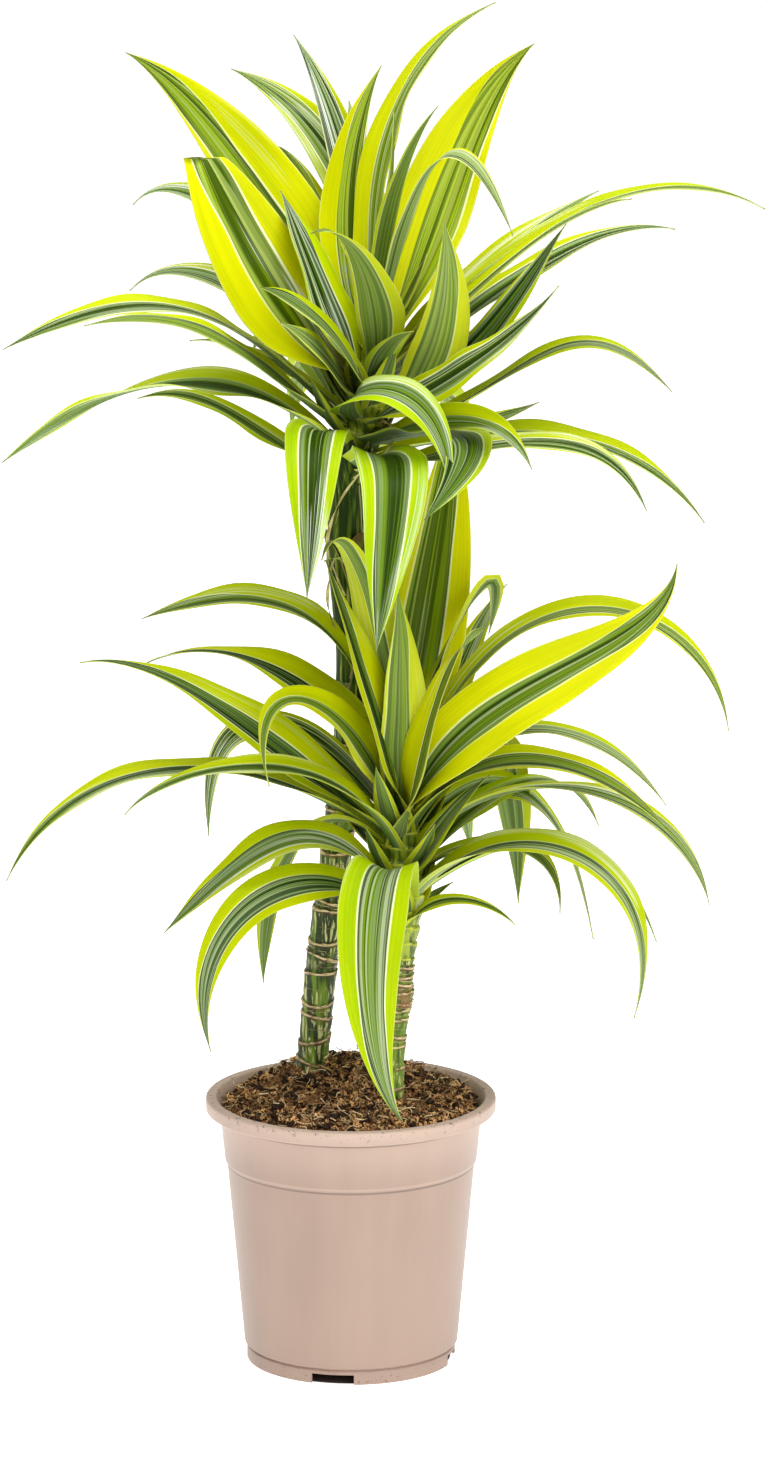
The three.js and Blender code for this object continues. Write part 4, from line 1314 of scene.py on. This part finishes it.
# %% Shoots
CUFF = 9.5
SHOOT_STEP = 1.2
SHOOT_COLUMNS = 40
BASE_DARK = (0.050, 0.085, 0.004)
BASE_LIGHT = (0.30, 0.38, 0.01)
BASE_LIP = (0.56, 0.58, 0.02)


def shoot_shape(shoot):
    line = through(shoot["path"])
    rows = round(line.length / SHOOT_STEP)

    def place(column, row):
        share = row / rows
        middle, along = line.at(share), line.along(share)
        side = (Vector((1, 0, 0)) - along * along.x).normalized()
        over = along.cross(side)
        turn = 2 * math.pi * column / SHOOT_COLUMNS
        step = share * (len(shoot["radii"]) - 1)
        low = min(int(step), len(shoot["radii"]) - 2)
        radius = lerp(shoot["radii"][low], shoot["radii"][low + 1], step - low)
        rise = (share * line.length / CUFF + turn / (2 * math.pi)) % 1
        radius *= 0.86 + 0.14 * smooth(rise, 0.0, 0.9)
        return middle + (side * math.cos(turn) + over * math.sin(turn)) * radius

    def numbers(column, row):
        rise = (row / rows * line.length / CUFF + column / SHOOT_COLUMNS) % 1
        return (rise, row / rows, 0)

    return sleeve(SHOOT_COLUMNS, rows, place, {"cuff": numbers})


tree = new_tree("leaf_bases")
place = object_place(tree)
x, y, z = place.parts()
rise, _, _ = attribute(tree, "cuff").parts()
ribs = grain(tree, vector_of(tree, x, y, z * 0.15), 330, 2)
colour = mixed(tree, BASE_DARK, BASE_LIGHT, ribs.rise(0.35, 0.65))
colour = colour.to(BASE_LIP, rise.rise(0.72, 0.95) * 0.8)
base_finish = finish("leaf_bases", colour, 0.45 + ribs * 0.1, bump=ribs, bump_depth=0.4)
for head, shoot in (("upper", UPPER_SHOOT), ("lower", LOWER_SHOOT)):
    piece_from(shoot_shape(shoot), head + "_shoot", base_finish, head + "_crown")

# %% [markdown]
# ### Young leaves in the heart
#
# Between the long leaves stand short ones that have only begun to open. They close the heart of each head, so
# that it is full from every side. The golden turn places them as well, from a start that differs by head.

# %% Heart leaves
HEARTS = {
    "upper": {"shoot": UPPER_SHOOT, "count": 15, "root": (534, 606), "seed": 61, "first": 500, "start": 0},
    "lower": {"shoot": LOWER_SHOOT, "count": 14, "root": (258, 330), "seed": 67, "first": 600, "start": 0.13},
}
HEART_CURVE = ((0.45, 0.3), (0.8, 0.7), (1, 1))  # how far out and how far up each pull and the tip lie
HEART_SILVER_AND_SHEEN = 0.1


def heart_leaves(head, rule):
    dice = random.Random(rule["seed"])
    for i in range(rule["count"]):
        turn = 2 * math.pi * ((rule["start"] + i * GOLDEN_TURN) % 1)
        high = i / (rule["count"] - 1)
        root_z = lerp(*rule["root"], high)
        start = stem_at(rule["shoot"]["path"], root_z)
        reach = dice.uniform(26, 44)
        rise = dice.uniform(38, 66)
        ahead = Vector((math.cos(turn), math.sin(turn), 0)) * reach
        pulls = [start + ahead * out + Vector((0, 0, up * rise)) for out, up in HEART_CURVE]
        row = (root_z, *pulls[0], *pulls[1], *pulls[2], dice.uniform(14, 19), 0, dice.uniform(-15, 15))
        margins = (dice.uniform(0.3, 0.6), dice.uniform(0.3, 0.6))
        marks = (*margins, dice.uniform(0.6, 1), dice.uniform(0, 0.6), HEART_SILVER_AND_SHEEN)
        look = look_of(marks, row, rule["first"] + i)
        shape = blade_shape(rule["shoot"], row, rule["first"] + i, look)
        piece_from(shape, f"{head}_heart_{i + 1:02}", leaf_material, head + "_crown")


for head, rule in HEARTS.items():
    heart_leaves(head, rule)

# %% [markdown]
# ### Old leaf sheaths
#
# Under the upper head the cane still wears what is left of the last leaves: long sheaths that wrap it and dry
# from the tip. Each is a strip of grid wrapped round the stem and given a wall. Three ribbons of dry leaf
# hang from among them.

# %% Sheaths
SHEATHS = 11
SHEATH_FOOT = 392
SHEATH_STEP = 11.5
SHEATH_WRAP = math.radians(110)
SHEATH_WALL = 0.45
RIBBON_WALL = 0.3


def stem_middle(z):
    """The stem's middle at a height: the cane, and above it the shoot."""
    if z > UPPER_SHOOT["path"][0][2]:
        return stem_at(UPPER_SHOOT["path"], z)
    return stem_at(TALL_CANE["path"], z)


def sheath_strips():
    dice = random.Random(29)
    sheaths = bmesh.new()
    tone = sheaths.verts.layers.float_vector.new("sheath")
    for i in range(SHEATHS):
        foot = SHEATH_FOOT + SHEATH_STEP * i
        long = dice.uniform(52, 88)
        facing = 2 * math.pi * (i * GOLDEN_TURN % 1)
        shade = dice.random()
        made = bmesh.ops.create_grid(sheaths, x_segments=14, y_segments=16, size=1)["verts"]
        for v in made:
            across, up = v.co.x, (v.co.y + 1) / 2
            middle = stem_middle(foot + up * long)
            turn = facing + across * SHEATH_WRAP * (1 - up) ** 0.7 + 0.15 * across
            stand = 9.5 + 0.9 * up + 4.5 * smooth(up, 0.7, 1) * shade + max(0, middle.z - 515) * 0.13
            stand += 0.35 * noise.noise(Vector((turn * 3, up * 5, i * 7)))
            v.co = middle + Vector((math.cos(turn), math.sin(turn), 0)) * stand
            v[tone] = (across, up, shade)
    bmesh.ops.solidify(sheaths, geom=sheaths.faces[:], thickness=-SHEATH_WALL)
    bmesh.ops.recalc_face_normals(sheaths, faces=sheaths.faces)
    return sheaths


RIBBONS = [
    ([(14, 2, 541), (6, -6, 531), (-4, -9, 518), (-11, -8, 502), (-13, -6, 487), (-8, -5, 470),
      (-3, -4, 458)], 3.4),
    ([(-9, -1, 480), (-12, -6, 470), (-13, -9, 455), (-9, -8, 440), (-4, -7, 428)], 2.6),
    ([(18, 0, 560), (26, -14, 556), (20, -22, 545), (10, -24, 537), (2, -20, 530)], 2.8),
]


def dry_ribbons():
    ribbons = bmesh.new()
    for number, (knots, width) in enumerate(RIBBONS):
        line = through(knots)
        made = bmesh.ops.create_grid(ribbons, x_segments=2, y_segments=48, size=1)["verts"]
        for v in made:
            share = (v.co.y + 1) / 2
            along = line.along(share)
            twist = 0.6 + 2.2 * math.sin(share * 5 + number)
            side = along.orthogonal().normalized()
            side = Matrix.Rotation(twist, 3, along) @ side
            v.co = line.at(share) + side * v.co.x * width / 2 * (1 - 0.6 * share)
    bmesh.ops.solidify(ribbons, geom=ribbons.faces[:], thickness=RIBBON_WALL)
    bmesh.ops.recalc_face_normals(ribbons, faces=ribbons.faces)
    return ribbons


SHEATH_DARK = (0.012, 0.028, 0.003)
SHEATH_GREEN = (0.130, 0.200, 0.012)
SHEATH_RIB = (0.45, 0.46, 0.10)
SHEATH_RIM = (0.36, 0.30, 0.11)
SHEATH_DRY = (0.085, 0.060, 0.012)
RIBBON_DARK = (0.30, 0.22, 0.06)
RIBBON_PALE = (0.62, 0.55, 0.20)

tree = new_tree("old_sheath")
across, up, shade = attribute(tree, "sheath").parts()
x, y, z = object_place(tree).parts()
ribs = grain(tree, vector_of(tree, x, y, z * 0.06), 420, 2)
colour = mixed(tree, SHEATH_DARK, SHEATH_GREEN, ribs.rise(0.44, 0.60) * (shade * 0.8 + 0.2))
colour = colour.to(SHEATH_RIB, ribs.rise(0.62, 0.67) * 0.6)
colour = colour.to(SHEATH_RIM, across.size().rise(0.86, 0.97) * 0.8)
colour = colour.to(SHEATH_DRY, up.rise(0.72, 1.0) * shade.rise(0.3, 0.6))
sheath_finish = finish(
    "old_sheath", colour, 0.5 + ribs * 0.2, bump=ribs, bump_depth=0.3,
    **{"Specular IOR Level": 0.12, "Specular Tint": LEAF_SHINE},
)
piece_from(sheath_strips(), "upper_sheaths", sheath_finish, "upper_crown", sharp_angle=40)

tree = new_tree("dry_ribbon")
strand = grain(tree, object_place(tree), 160, 2)
colour = mixed(tree, RIBBON_DARK, RIBBON_PALE, strand.rise(0.35, 0.62))
ribbon_finish = finish("dry_ribbon", colour, 0.7)
piece_from(dry_ribbons(), "dry_ribbons", ribbon_finish, "upper_crown")

# %% [markdown]
# ## Sizes
#
# The dressed plant's box and the box of the solids that it stands for are both printed. The dressed
# plant has to stay as large as the solids it stands for.

# %% Sizes and end
seen_box = [list(corner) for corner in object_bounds()]
for axis, name in enumerate("xyz"):
    solid_reach = [round(corner[axis] / MM, 1) for corner in cad_box]
    seen_reach = [round(corner[axis] / MM, 1) for corner in seen_box]
    print(name, "in mm: frame", solid_reach, "seen", seen_reach)
